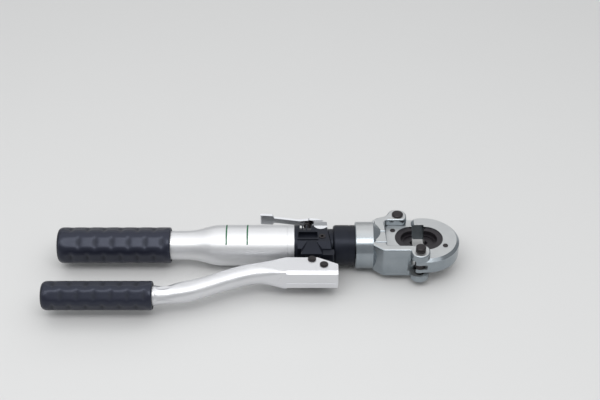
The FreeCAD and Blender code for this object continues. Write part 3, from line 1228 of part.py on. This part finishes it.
def make_pieces():
    """Every piece of the tool by name."""
    return {
        "reservoir_tube": make_reservoir_tube(),
        "oil_bladder": make_oil_bladder(),
        "oil_strainer": make_strainer(),
        "end_plug": make_end_plug(),
        "filler_screw": make_filler_screw(),
        "main_grip": make_main_grip(),
        "pump_block": make_pump_block(),
        "plunger_gland": make_plunger_gland(),
        "plunger_seal": make_plunger_seal(),
        "pivot_pin": make_pivot_pin(),
        "pivot_pin_clips": pin_clips(PIVOT_X, PIVOT_Y, PIVOT_PIN_RADIUS),
        "valve_rings": make_valve_rings(),
        "check_balls": make_check_balls(),
        "check_springs": make_check_springs(),
        "relief_ball": make_relief_ball(),
        "relief_spring": make_relief_spring(),
        "relief_screw": make_relief_screw(),
        "ram_cylinder": make_ram_cylinder(),
        "snap_ring": make_snap_ring(),
        "rod_gland": make_rod_gland(),
        "return_spring": make_return_spring(),
        "release_lever": make_release_lever(),
        "lever_pin": make_lever_pin(),
        "release_pin": make_release_pin(),
        "release_spring": make_release_spring(),
        "plunger": make_plunger(),
        "moving_handle": make_moving_handle(),
        "drive_pin": make_drive_pin(),
        "drive_pin_clips": pin_clips(PLUNGER_X, DRIVE_PIN_Y, DRIVE_PIN_RADIUS),
        "handle_grip": make_handle_grip(),
        "head_base": make_head_base(),
        "rod_wiper": make_rod_wiper(),
        "hinge_pin": make_hinge_pin(),
        "hinge_pin_clips": make_hinge_clips(),
        "lock_pin": make_lock_pin(),
        "yoke": make_yoke(),
        "fixed_die": make_die(DIE_FIXED_X, 1),
        "yoke_die_pin": make_die_pin(DIE_FIXED_X, 1, YOKE_HALF_HEIGHT + DIE_PIN_PROUD),
        "yoke_die_ball": make_die_ball(DIE_FIXED_X, 1),
        "yoke_die_spring": make_die_spring(DIE_FIXED_X, 1),
        "ram_piston": make_ram_piston(),
        "piston_seal": make_piston_seal(),
        "ram_nose": make_ram_nose(),
        "nose_pin": make_nose_pin(),
        "moving_die": make_die(DIE_FACE_X, -1),
        "ram_die_pin": make_die_pin(DIE_FACE_X, -1, NOSE_HALF_HEIGHT + DIE_PIN_PROUD),
        "ram_die_ball": make_die_ball(DIE_FACE_X, -1),
        "ram_die_spring": make_die_spring(DIE_FACE_X, -1),
    }


def set_on_surface(pieces):
    """Moves the whole tool so that its origin is on the surface, below the middle of its outline."""
    bounds = FreeCAD.BoundBox()
    for shape in pieces.values():
        bounds.add(shape.optimalBoundingBox(False))
    middle_x = (bounds.XMin + bounds.XMax) / 2
    middle_y = (bounds.YMin + bounds.YMax) / 2
    for shape in pieces.values():
        shape.translate(vector(-middle_x, -middle_y, -bounds.ZMin))


def write_pieces(pieces):
    os.makedirs("parts", exist_ok=True)
    for name, shape in pieces.items():
        shape.exportStep(os.path.join("parts", name + ".step"))


pieces = make_pieces()
set_on_surface(pieces)
write_pieces(pieces)
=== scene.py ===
import json
import math

import bpy
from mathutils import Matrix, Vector

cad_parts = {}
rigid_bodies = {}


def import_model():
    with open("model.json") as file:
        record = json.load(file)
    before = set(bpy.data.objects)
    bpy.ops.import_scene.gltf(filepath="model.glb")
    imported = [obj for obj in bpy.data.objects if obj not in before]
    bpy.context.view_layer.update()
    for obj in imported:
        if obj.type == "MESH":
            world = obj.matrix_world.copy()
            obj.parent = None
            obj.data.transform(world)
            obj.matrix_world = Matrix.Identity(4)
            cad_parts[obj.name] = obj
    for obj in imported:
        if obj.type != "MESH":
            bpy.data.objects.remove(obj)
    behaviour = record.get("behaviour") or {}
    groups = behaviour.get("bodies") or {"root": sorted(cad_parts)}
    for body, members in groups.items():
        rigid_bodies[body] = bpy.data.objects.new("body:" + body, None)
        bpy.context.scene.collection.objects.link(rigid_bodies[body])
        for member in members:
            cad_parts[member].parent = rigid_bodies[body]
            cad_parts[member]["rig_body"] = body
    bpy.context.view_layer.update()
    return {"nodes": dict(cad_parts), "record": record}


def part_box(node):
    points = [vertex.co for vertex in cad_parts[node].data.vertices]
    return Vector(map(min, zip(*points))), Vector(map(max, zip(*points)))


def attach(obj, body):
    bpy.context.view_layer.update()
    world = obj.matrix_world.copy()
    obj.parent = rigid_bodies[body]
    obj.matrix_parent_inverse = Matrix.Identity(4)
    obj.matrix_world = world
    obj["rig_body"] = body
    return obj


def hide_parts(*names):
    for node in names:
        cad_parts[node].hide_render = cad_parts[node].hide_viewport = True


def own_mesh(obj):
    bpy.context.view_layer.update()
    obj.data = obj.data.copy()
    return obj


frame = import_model()

# Finish, light and camera for the hydraulic cable crimping tool, in metres.
# The tool lies on its side: the ram runs along X, and the yoke and both handles swing in the level plane.

# Camera, looking down at the tool from the front
CAMERA_PLACE = (0.04725, -1.04107, 0.91885)
CAMERA_TILT = math.radians(52.0)
CAMERA_LENS = 78.0
SENSOR_WIDTH = 36.0

# Pale room and floor
SKY_COLOUR = (0.86, 0.87, 0.88, 1.0)
SKY_STRENGTH = 0.5
FLOOR_SIZE = 8.0
FLOOR_DROP = 0.0004
FLOOR_COLOUR = (0.63, 0.632, 0.63, 1.0)
FLOOR_LIGHTER_COLOUR = (0.6426, 0.64464, 0.6426, 1.0)
FLOOR_ROUGHNESS = 0.85

# Softboxes: name, place, the point that it faces, width and depth, and watts
SOFTBOXES = (
    ("overhead_softbox", (0.0, -0.2, 1.35), (0.0, -0.2, 0.0), (3.0, 2.2), 17.0),
    ("front_softbox", (0.0, -0.6, 1.15), (0.0, 0.0, 0.0), (1.2, 0.45), 5.0),
    ("back_softbox", (0.0, 1.3, 1.0), (0.0, 0.0, 0.0), (1.8, 0.6), 2.5),
    ("left_softbox", (-1.3, -0.4, 0.9), (0.0, 0.0, 0.0), (0.6, 0.9), 2.0),
)

# Axis of the tube and the ram, which runs along X
RAM_AXIS_Y = 0.024514
RAM_AXIS_Z = 0.025

# Corners nearer than the merge distance are joined, and so are faces that turn by less than the flat angle.
# Edges that turn by less than the smooth angle look round.
MERGE_DISTANCE = 0.000002
FLAT_ANGLE = math.radians(0.4)
SMOOTH_ANGLE = math.radians(32.0)

# Width of the break on the edges of each piece.
# The grips are smoothed instead, and the other pieces keep the edges of their solids.
EDGE_BREAKS = {
    "reservoir_tube": 0.00015,
    "fixed_die": 0.00015,
    "moving_die": 0.00015,
    "pump_block": 0.0003,
    "ram_nose": 0.0003,
    "yoke": 0.0003,
    "release_lever": 0.0016,
}
BREAK_SEGMENTS = 2

# Rubber grips: size of their even mesh, strength and rounds of its smoothing,
# and how deep the worn pads and the hollows lie below the lip, which also sets where the hollows get
# painted shade
GRIPS = ("main_grip", "handle_grip")
GRIP_MESH_SIZE = 0.0007
GRIP_SMOOTHING_STRENGTH = 0.5
GRIP_SMOOTHING_ROUNDS = 60
PAD_DEPTH = 0.0012
HOLLOW_DEPTH = 0.0024

# Springs, each given a mesh of its own: the joint that works it, the way it shortens, and the share of
# length it keeps
SPRING_TRAVEL = {
    "return_spring": ("ram_slide", (1.0, 0.0, 0.0), 0.36),
    "release_spring": ("release_pin_slide", (0.0, -1.0, 0.0), 0.69),
    "yoke_die_spring": ("yoke_button_slide", (0.0, 0.0, -1.0), 0.455),
    "ram_die_spring": ("ram_button_slide", (0.0, 0.0, -1.0), 0.455),
}

# Two plain stripes round the tube, each an arc about a middle angle
STRIPE_PLACES = (-0.0305, -0.0084)
STRIPE_HALF_WIDTH = 0.0008
STRIPE_MIDDLE_ANGLE = 1.5
STRIPE_REACH_ANGLE = 0.93
STRIPE_GREEN = (0.006, 0.11, 0.045, 1.0)

# Satin aluminium of the tube
TUBE_DARK = (0.74, 0.745, 0.76, 1.0)
TUBE_LIGHT = (0.81, 0.815, 0.83, 1.0)
TUBE_ROUGHNESS = (0.4, 0.52)

# Steel of the head, with painted light: its level faces get a paler colour as if lit, and its sides a
# darker colour as painted shade.
# A face turns from side to level as the upright part of its normal goes from the first of the two level
# limits to the second.
LEVEL_LIMITS = (0.8, 0.98)
# Painted light on the level faces and painted shade on the sides, besides their different roughness
LIT_LEVEL_DARK = (0.49, 0.505, 0.515, 1.0)
LIT_LEVEL_LIGHT = (0.58, 0.595, 0.60, 1.0)
LEVEL_ROUGHNESS = (0.34, 0.5)
SHADED_SIDE_DARK = (0.25, 0.285, 0.315, 1.0)
SHADED_SIDE_LIGHT = (0.38, 0.415, 0.44, 1.0)
SIDE_ROUGHNESS = (0.14, 0.24)
MARK_COLOUR = (0.36, 0.38, 0.39, 1.0)
MARK_STRENGTH = 0.35
GRINDING_SHARE = 0.6

# Rubber of the grips, with painted shade that darkens the hollows below the pads. Its roughness goes from
# hollow to pad as its wear goes from the first limit to the second
PAINTED_SHADE_HOLLOW_BLACK = (0.002, 0.0022, 0.004, 1.0)
PAD_BLACK = (0.010, 0.011, 0.020, 1.0)
HOLLOW_ROUGHNESS = 0.6
PAD_ROUGHNESS = 0.3
WEAR_LIMITS = (0.1, 1.2)
WEAR_DRIFT = 0.3

# The small marks come in patches: none below the first limit of the patch noise, all above the second
PATCH_LIMITS = (0.5, 0.62)

# The noise of the shared effects lies mostly between these two values
NOISE_LOW = 0.3
NOISE_HIGH = 0.7

# Gloss of plain surfaces, and its cool cast on black enamel and rubber
GLOSS_LEVEL = 0.5
PLAIN_GLOSS = (1.0, 1.0, 1.0, 1.0)
COOL_GLOSS = (0.76, 0.82, 1.0, 1.0)


# Node helpers

def add_node(tree, kind, inputs=None, **settings):
    made = tree.nodes.new(kind)
    for name, value in settings.items():
        setattr(made, name, value)
    for socket, value in (inputs or {}).items():
        set_input(tree, made.inputs[socket], value)
    return made


def set_input(tree, socket, value):
    """Links a socket to another node's output, or sets it to a plain value."""
    if isinstance(value, bpy.types.NodeSocket):
        tree.links.new(value, socket)
    else:
        socket.default_value = value


def start_group(name, inputs, outputs):
    tree = bpy.data.node_groups.new(name, "ShaderNodeTree")
    for label, kind, value in inputs:
        socket = tree.interface.new_socket(label, in_out="INPUT", socket_type=kind)
        socket.default_value = value
    for label in outputs:
        tree.interface.new_socket(label, in_out="OUTPUT", socket_type="NodeSocketFloat")
    return tree, add_node(tree, "NodeGroupInput"), add_node(tree, "NodeGroupOutput")


def add_group(tree, group, **inputs):
    made = add_node(tree, "ShaderNodeGroup", node_tree=group)
    for label, value in inputs.items():
        set_input(tree, made.inputs[label.replace("_", " ")], value)
    return made


def calculate(tree, operation, first, second=0.0, third=0.0):
    node = add_node(tree, "ShaderNodeMath", {0: first, 1: second, 2: third}, operation=operation)
    return node.outputs[0]


def map_range(tree, value, low, high, new_low, new_high):
    node = add_node(
        tree,
        "ShaderNodeMapRange",
        {"Value": value, "From Min": low, "From Max": high, "To Min": new_low, "To Max": new_high},
    )
    return node.outputs["Result"]


def spread_noise(tree, noise, new_low, new_high):
    return map_range(tree, noise, NOISE_LOW, NOISE_HIGH, new_low, new_high)


def mix_colour(tree, factor, first, second):
    node = add_node(tree, "ShaderNodeMix", {0: factor, 6: first, 7: second}, data_type="RGBA")
    return node.outputs[2]


def blend_noise(tree, first, first_share, second, second_share):
    """Two noises added, each by its share."""
    scaled_second = calculate(tree, "MULTIPLY", second, second_share)
    return calculate(tree, "MULTIPLY_ADD", first, first_share, scaled_second)


def object_place(tree):
    return add_node(tree, "ShaderNodeTexCoord").outputs["Object"]


def split_place(tree):
    return add_node(tree, "ShaderNodeSeparateXYZ", {0: object_place(tree)}).outputs


def offsets_from_axis(tree, place, axis_y, axis_z):
    """How far a place lies across and above an axis along X."""
    across = calculate(tree, "SUBTRACT", place["Y"], axis_y)
    above = calculate(tree, "SUBTRACT", place["Z"], axis_z)
    return across, above


# Shared effects

def make_uneven_group():
    """Slow and fine changes over a surface, as of a casting or a coat of paint."""
    tree, given, result = start_group(
        "uneven_surface",
        [
            ("Broad Scale", "NodeSocketFloat", 40.0),
            ("Fine Scale", "NodeSocketFloat", 1500.0),
        ],
        ["Broad", "Fine"],
    )
    place = object_place(tree)
    broad = add_node(
        tree,
        "ShaderNodeTexNoise",
        {"Vector": place, "Scale": given.outputs["Broad Scale"], "Detail": 3.0, "Roughness": 0.55},
    )
    fine = add_node(
        tree,
        "ShaderNodeTexNoise",
        {"Vector": place, "Scale": given.outputs["Fine Scale"], "Detail": 2.0, "Roughness": 0.6},
    )
    tree.links.new(broad.outputs["Fac"], result.inputs["Broad"])
    tree.links.new(fine.outputs["Fac"], result.inputs["Fine"])
    return tree


def make_brushed_group():
    """Fine lines that run across one direction, left by turning or grinding."""
    tree, given, result = start_group(
        "brushed_lines",
        [
            ("Stretch", "NodeSocketVector", (1.0, 1.0, 1.0)),
            ("Scale", "NodeSocketFloat", 1.0),
        ],
        ["Lines"],
    )
    stretched = add_node(
        tree,
        "ShaderNodeVectorMath",
        {0: object_place(tree), 1: given.outputs["Stretch"]},
        operation="MULTIPLY",
    )
    lines = add_node(
        tree,
        "ShaderNodeTexNoise",
        {"Vector": stretched.outputs[0], "Scale": given.outputs["Scale"], "Detail": 4.0, "Roughness": 0.65},
    )
    tree.links.new(lines.outputs["Fac"], result.inputs["Lines"])
    return tree


def make_marks_group():
    """Sparse small marks of handling, in patches, 1 on a mark."""
    tree, given, result = start_group(
        "small_marks",
        [
            ("Scale", "NodeSocketFloat", 300.0),
            ("Share", "NodeSocketFloat", 0.1),
            ("Patch Scale", "NodeSocketFloat", 55.0),
        ],
        ["Marks"],
    )
    place = object_place(tree)
    specks = add_node(
        tree,
        "ShaderNodeTexVoronoi",
        {"Vector": place, "Scale": given.outputs["Scale"], "Randomness": 1.0},
        distance="EUCLIDEAN",
    )
    cloud = add_node(
        tree,
        "ShaderNodeTexNoise",
        {"Vector": place, "Scale": given.outputs["Patch Scale"], "Detail": 2.0},
    )
    on_speck = calculate(tree, "LESS_THAN", specks.outputs["Distance"], given.outputs["Share"])
    in_patch = map_range(tree, cloud.outputs["Fac"], *PATCH_LIMITS, 0.0, 1.0)
    tree.links.new(calculate(tree, "MULTIPLY", on_speck, in_patch), result.inputs["Marks"])
    return tree


UNEVEN = make_uneven_group()
BRUSHED = make_brushed_group()
MARKS = make_marks_group()


# Materials

def start_material(name):
    material = bpy.data.materials.new(name)
    material.use_nodes = True
    tree = material.node_tree
    return material, tree, tree.nodes["Principled BSDF"]


def set_bump(tree, shader, height, strength, distance):
    bump = add_node(
        tree, "ShaderNodeBump", {"Height": height, "Strength": strength, "Distance": distance}
    )
    tree.links.new(bump.outputs["Normal"], shader.inputs["Normal"])


def finish_surface(
    name, dark, light, metallic, roughness, broad_scale, fine_scale, grain_height,
    gloss=GLOSS_LEVEL, gloss_tint=PLAIN_GLOSS,
):
    """A material whose colour and gloss drift between two values, with a fine grain in relief."""
    material, tree, shader = start_material(name)
    uneven = add_group(tree, UNEVEN, Broad_Scale=broad_scale, Fine_Scale=fine_scale)
    broad = uneven.outputs["Broad"]
    fine = uneven.outputs["Fine"]
    tree.links.new(mix_colour(tree, broad, dark, light), shader.inputs["Base Color"])
    dullness = blend_noise(tree, fine, 0.4, broad, 0.6)
    tree.links.new(spread_noise(tree, dullness, *roughness), shader.inputs["Roughness"])
    shader.inputs["Metallic"].default_value = metallic
    shader.inputs["Specular IOR Level"].default_value = gloss
    shader.inputs["Specular Tint"].default_value = gloss_tint
    set_bump(tree, shader, fine, strength=1.0, distance=grain_height)
    return material


def stripe_mask(tree):
    """1 on the stripes of the tube, 0 beside them."""
    place = split_place(tree)
    across, above = offsets_from_axis(tree, place, RAM_AXIS_Y, RAM_AXIS_Z)
    stripes = 0.0
    for stripe_x in STRIPE_PLACES:
        offset = calculate(tree, "ABSOLUTE", calculate(tree, "SUBTRACT", place["X"], stripe_x))
        stripe = calculate(tree, "LESS_THAN", offset, STRIPE_HALF_WIDTH)
        stripes = calculate(tree, "ADD", stripe, stripes)
    around = calculate(tree, "ARCTAN2", above, across)
    from_middle = calculate(tree, "ABSOLUTE", calculate(tree, "SUBTRACT", around, STRIPE_MIDDLE_ANGLE))
    in_reach = calculate(tree, "LESS_THAN", from_middle, STRIPE_REACH_ANGLE)
    return calculate(tree, "MULTIPLY", stripes, in_reach)


def make_tube_aluminium():
    """Satin turned aluminium, with two plain green stripes round the upper side of the tube."""
    material, tree, shader = start_material("tube_aluminium_satin")
    uneven = add_group(tree, UNEVEN, Broad_Scale=16.0, Fine_Scale=2600.0)
    turned = add_group(tree, BRUSHED, Stretch=(1.0, 0.01, 0.01), Scale=1400.0)
    broad = uneven.outputs["Broad"]
    lines = turned.outputs["Lines"]
    metal = mix_colour(tree, broad, TUBE_DARK, TUBE_LIGHT)
    printed = stripe_mask(tree)
    tree.links.new(mix_colour(tree, printed, metal, STRIPE_GREEN), shader.inputs["Base Color"])
    tree.links.new(calculate(tree, "SUBTRACT", 1.0, printed), shader.inputs["Metallic"])
    dullness = blend_noise(tree, lines, 0.5, broad, 0.5)
    tree.links.new(spread_noise(tree, dullness, *TUBE_ROUGHNESS), shader.inputs["Roughness"])
    set_bump(tree, shader, lines, strength=0.35, distance=0.00004)
    return material


def level_mask(tree):
    """1 on faces that lie level as the tool lies, 0 on its sides."""
    facing = add_node(tree, "ShaderNodeTexCoord").outputs["Normal"]
    normal = add_node(tree, "ShaderNodeSeparateXYZ", {0: facing})
    upright = calculate(tree, "ABSOLUTE", normal.outputs["Z"])
    return map_range(tree, upright, *LEVEL_LIMITS, 0.0, 1.0)


def make_head_steel():
    """Plated steel, ground on its level faces and polished on its sides, with painted light making the
    level faces paler and painted shade making the sides darker.
    """
    material, tree, shader = start_material("head_plated_steel")
    uneven = add_group(tree, UNEVEN, Broad_Scale=70.0, Fine_Scale=2200.0)
    ground = add_group(tree, BRUSHED, Stretch=(0.06, 1.0, 1.0), Scale=900.0)
    marks = add_group(tree, MARKS, Scale=420.0, Share=0.13)
    broad = uneven.outputs["Broad"]
    fine = uneven.outputs["Fine"]
    lines = ground.outputs["Lines"]
    level = level_mask(tree)
    # Painted light and shade: level faces get a paler colour as if lit, sides a darker colour as if shaded
    lit_level_colour = mix_colour(tree, broad, LIT_LEVEL_DARK, LIT_LEVEL_LIGHT)
    shaded_side_colour = mix_colour(tree, broad, SHADED_SIDE_DARK, SHADED_SIDE_LIGHT)
    colour = mix_colour(tree, level, shaded_side_colour, lit_level_colour)
    marked = calculate(tree, "MULTIPLY", marks.outputs["Marks"], MARK_STRENGTH)
    colour = mix_colour(tree, marked, colour, MARK_COLOUR)
    tree.links.new(colour, shader.inputs["Base Color"])
    shader.inputs["Metallic"].default_value = 1.0
    level_dullness = calculate(tree, "MULTIPLY", spread_noise(tree, lines, *LEVEL_ROUGHNESS), level)
    side = calculate(tree, "SUBTRACT", 1.0, level)
    side_dullness = calculate(tree, "MULTIPLY", spread_noise(tree, fine, *SIDE_ROUGHNESS), side)
    dullness = calculate(tree, "ADD", level_dullness, side_dullness)
    tree.links.new(dullness, shader.inputs["Roughness"])
    grinding = calculate(tree, "MULTIPLY", lines, level)
    height = calculate(tree, "MULTIPLY_ADD", grinding, GRINDING_SHARE, fine)
    set_bump(tree, shader, height, strength=0.4, distance=0.00004)
    return material


def make_grip_rubber(node_name):
    """Black rubber, handled smooth on the raised pads and dull in the hollows between them, with painted
    shade darkening the hollows.
    """
    low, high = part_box(node_name)
    lip_radius = (high.z - low.z) / 2
    material, tree, shader = start_material(node_name + "_black_rubber")
    uneven = add_group(tree, UNEVEN, Broad_Scale=60.0, Fine_Scale=1900.0)
    across, above = offsets_from_axis(tree, split_place(tree), (low.y + high.y) / 2, (low.z + high.z) / 2)
    square = calculate(tree, "MULTIPLY_ADD", across, across, calculate(tree, "MULTIPLY", above, above))
    radius = calculate(tree, "SQRT", square)
    raised = map_range(tree, radius, lip_radius - HOLLOW_DEPTH, lip_radius - PAD_DEPTH, 0.0, 1.0)
    # Painted shade: the hollows between the pads get a darker black than the pads
    colour = mix_colour(tree, raised, PAINTED_SHADE_HOLLOW_BLACK, PAD_BLACK)
    tree.links.new(colour, shader.inputs["Base Color"])
    wear = calculate(tree, "MULTIPLY_ADD", uneven.outputs["Broad"], WEAR_DRIFT, raised)
    roughness = map_range(tree, wear, *WEAR_LIMITS, HOLLOW_ROUGHNESS, PAD_ROUGHNESS)
    tree.links.new(roughness, shader.inputs["Roughness"])
    shader.inputs["Specular IOR Level"].default_value = GLOSS_LEVEL
    shader.inputs["Specular Tint"].default_value = COOL_GLOSS
    set_bump(tree, shader, uneven.outputs["Fine"], strength=1.0, distance=0.00006)
    return material


def make_handle_silver():
    """Thin silver coat on the cast handle."""
    return finish_surface(
        "handle_cast_silver",
        dark=(0.68, 0.685, 0.71, 1.0),
        light=(0.77, 0.775, 0.795, 1.0),
        metallic=0.9,
        roughness=(0.3, 0.46),
        broad_scale=30.0,
        fine_scale=1600.0,
        grain_height=0.00003,
    )


def make_black_enamel():
    """Stoved black enamel of the pump block and the ram cylinder."""
    return finish_surface(
        "block_black_enamel",
        dark=(0.004, 0.005, 0.008, 1.0),
        light=(0.008, 0.009, 0.014, 1.0),
        metallic=0.0,
        roughness=(0.3, 0.46),
        broad_scale=90.0,
        fine_scale=1500.0,
        grain_height=0.00003,
        gloss=0.3,
        gloss_tint=COOL_GLOSS,
    )


def make_lever_chrome():
    """Polished chrome of the release lever."""
    return finish_surface(
        "lever_polished_chrome",
        dark=(0.66, 0.68, 0.72, 1.0),
        light=(0.76, 0.775, 0.80, 1.0),
        metallic=1.0,
        roughness=(0.08, 0.2),
        broad_scale=50.0,
        fine_scale=1300.0,
        grain_height=0.00001,
    )


def make_pin_oxide():
    """Black oxide on the pins, clips, screws and the release spring."""
    return finish_surface(
        "pin_black_oxide",
        dark=(0.020, 0.018, 0.020, 1.0),
        light=(0.045, 0.040, 0.042, 1.0),
        metallic=0.7,
        roughness=(0.28, 0.46),
        broad_scale=300.0,
        fine_scale=3200.0,
        grain_height=0.00002,
    )


def make_die_oxide():
    """Black oxide on the two half dies."""
    return finish_surface(
        "die_black_oxide",
        dark=(0.013, 0.011, 0.014, 1.0),
        light=(0.024, 0.021, 0.026, 1.0),
        metallic=0.35,
        roughness=(0.34, 0.5),
        broad_scale=160.0,
        fine_scale=2600.0,
        grain_height=0.00003,
    )


def make_ground_steel():
    """Ground steel of the ram, plunger, snap ring, balls, springs and hidden pins."""
    return finish_surface(
        "inner_ground_steel",
        dark=(0.44, 0.45, 0.46, 1.0),
        light=(0.56, 0.57, 0.58, 1.0),
        metallic=1.0,
        roughness=(0.22, 0.4),
        broad_scale=200.0,
        fine_scale=3000.0,
        grain_height=0.00001,
    )


def make_turned_brass():
    """Turned brass of the glands, valve rings and strainer."""
    return finish_surface(
        "inner_turned_brass",
        dark=(0.62, 0.44, 0.17, 1.0),
        light=(0.72, 0.53, 0.24, 1.0),
        metallic=1.0,
        roughness=(0.25, 0.42),
        broad_scale=200.0,
        fine_scale=3000.0,
        grain_height=0.00001,
    )


def make_seal_rubber():
    """Black rubber of the seals, wiper and oil bladder."""
    return finish_surface(
        "inner_black_seal",
        dark=(0.012, 0.012, 0.013, 1.0),
        light=(0.022, 0.022, 0.023, 1.0),
        metallic=0.0,
        roughness=(0.45, 0.65),
        broad_scale=120.0,
        fine_scale=2400.0,
        grain_height=0.00002,
    )


def make_slot_materials():
    """The finish of each material slot. The grips have their own, which follows their relief."""
    return {
        "tube_aluminium": make_tube_aluminium(),
        "handle_silver": make_handle_silver(),
        "black_metal": make_black_enamel(),
        "head_steel": make_head_steel(),
        "lever_chrome": make_lever_chrome(),
        "black_steel": make_pin_oxide(),
        "die_black": make_die_oxide(),
        "plain_steel": make_ground_steel(),
        "brass": make_turned_brass(),
        "seal_rubber": make_seal_rubber(),
    }


# Pieces

def only_active(piece):
    bpy.ops.object.select_all(action="DESELECT")
    piece.select_set(True)
    bpy.context.view_layer.objects.active = piece


def copy_node(node_name):
    """A copy of a CAD piece, with the corners of its loose triangles merged."""
    source = frame["nodes"][node_name]
    piece = bpy.data.objects.new(node_name + "_finished", source.data.copy())
    bpy.context.scene.collection.objects.link(piece)
    only_active(piece)
    bpy.ops.object.mode_set(mode="EDIT")
    bpy.ops.mesh.select_all(action="SELECT")
    bpy.ops.mesh.remove_doubles(threshold=MERGE_DISTANCE)
    bpy.ops.object.mode_set(mode="OBJECT")
    bpy.ops.mesh.customdata_custom_splitnormals_clear()
    return piece


def break_edges(piece, width):
    """Bevels every sharp edge, after the triangles of each flat face are joined."""
    bpy.ops.object.mode_set(mode="EDIT")
    bpy.ops.mesh.select_all(action="SELECT")
    bpy.ops.mesh.dissolve_limited(angle_limit=FLAT_ANGLE)
    bpy.ops.object.mode_set(mode="OBJECT")
    bevel = piece.modifiers.new("edge_break", "BEVEL")
    bevel.width = width
    bevel.segments = BREAK_SEGMENTS
    bevel.limit_method = "ANGLE"
    bevel.angle_limit = SMOOTH_ANGLE
    bpy.ops.object.modifier_apply(modifier=bevel.name)


def soften_grip(piece):
    """Rubber has no sharp edges: the sleeve is remeshed evenly and its relief smoothed."""
    remesh = piece.modifiers.new("even_mesh", "REMESH")
    remesh.mode = "VOXEL"
    remesh.voxel_size = GRIP_MESH_SIZE
    bpy.ops.object.modifier_apply(modifier=remesh.name)
    smooth = piece.modifiers.new("soft_relief", "SMOOTH")
    smooth.factor = GRIP_SMOOTHING_STRENGTH
    smooth.iterations = GRIP_SMOOTHING_ROUNDS
    bpy.ops.object.modifier_apply(modifier=smooth.name)


def shade_faces(piece):
    """Curves look round, and large flat faces keep one normal beside the narrow breaks."""
    bpy.ops.object.shade_smooth_by_angle(angle=SMOOTH_ANGLE)
    weighted = piece.modifiers.new("flat_faces", "WEIGHTED_NORMAL")
    weighted.mode = "FACE_AREA_WITH_ANGLE"
    weighted.keep_sharp = True
    bpy.ops.object.modifier_apply(modifier=weighted.name)


def let_spring_shorten(piece):
    """Gives the spring a mesh of its own."""
    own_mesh(piece)


def dress_node(node_name, material):
    """Replaces a CAD piece by a finished copy that rides on the same body."""
    piece = copy_node(node_name)
    if node_name in GRIPS:
        soften_grip(piece)
    if node_name in EDGE_BREAKS:
        break_edges(piece, EDGE_BREAKS[node_name])
    shade_faces(piece)
    piece.data.materials.clear()
    piece.data.materials.append(material)
    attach(piece, frame["nodes"][node_name]["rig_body"])
    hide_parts(node_name)
    if node_name in SPRING_TRAVEL:
        let_spring_shorten(piece)


def dress_tool():
    slot_materials = make_slot_materials()
    grip_materials = {grip: make_grip_rubber(grip) for grip in GRIPS}
    for part in frame["record"]["subparts"]:
        node_name = part["node"]
        slot_name = part["material_slot"]
        material = grip_materials.get(node_name) or slot_materials[slot_name]
        dress_node(node_name, material)


# Stage

def add_floor():
    bpy.ops.object.select_all(action="DESELECT")
    bpy.ops.mesh.primitive_plane_add(size=FLOOR_SIZE, location=(0.0, 0.0, -FLOOR_DROP))
    floor = bpy.context.object
    floor.name = "studio_floor"
    material, tree, shader = start_material("floor_pale_paper")
    uneven = add_group(tree, UNEVEN, Broad_Scale=3.0, Fine_Scale=700.0)
    colour = mix_colour(tree, uneven.outputs["Broad"], FLOOR_COLOUR, FLOOR_LIGHTER_COLOUR)
    tree.links.new(colour, shader.inputs["Base Color"])
    shader.inputs["Roughness"].default_value = FLOOR_ROUGHNESS
    floor.data.materials.append(material)


def add_softbox(name, place, aim, size, watts):
    data = bpy.data.lights.new(name, "AREA")
    data.shape = "RECTANGLE"
    data.size = size[0]
    data.size_y = size[1]
    data.energy = watts
    lamp = bpy.data.objects.new(name, data)
    lamp.location = place
    lamp.rotation_euler = (Vector(aim) - Vector(place)).to_track_quat("-Z", "Y").to_euler()
    bpy.context.scene.collection.objects.link(lamp)


def set_world():
    world = bpy.data.worlds.new("pale_room")
    bpy.context.scene.world = world
    world.use_nodes = True
    background = world.node_tree.nodes["Background"]
    background.inputs["Color"].default_value = SKY_COLOUR
    background.inputs["Strength"].default_value = SKY_STRENGTH


def set_camera():
    data = bpy.data.cameras.new("view_camera")
    data.lens = CAMERA_LENS
    data.sensor_width = SENSOR_WIDTH
    camera = bpy.data.objects.new("view_camera", data)
    camera.location = CAMERA_PLACE
    camera.rotation_euler = (CAMERA_TILT, 0.0, 0.0)
    bpy.context.scene.collection.objects.link(camera)
    bpy.context.scene.camera = camera


set_camera()
set_world()
add_floor()
for softbox in SOFTBOXES:
    add_softbox(*softbox)
dress_tool()
bpy.context.scene.view_settings.view_transform = "Standard"
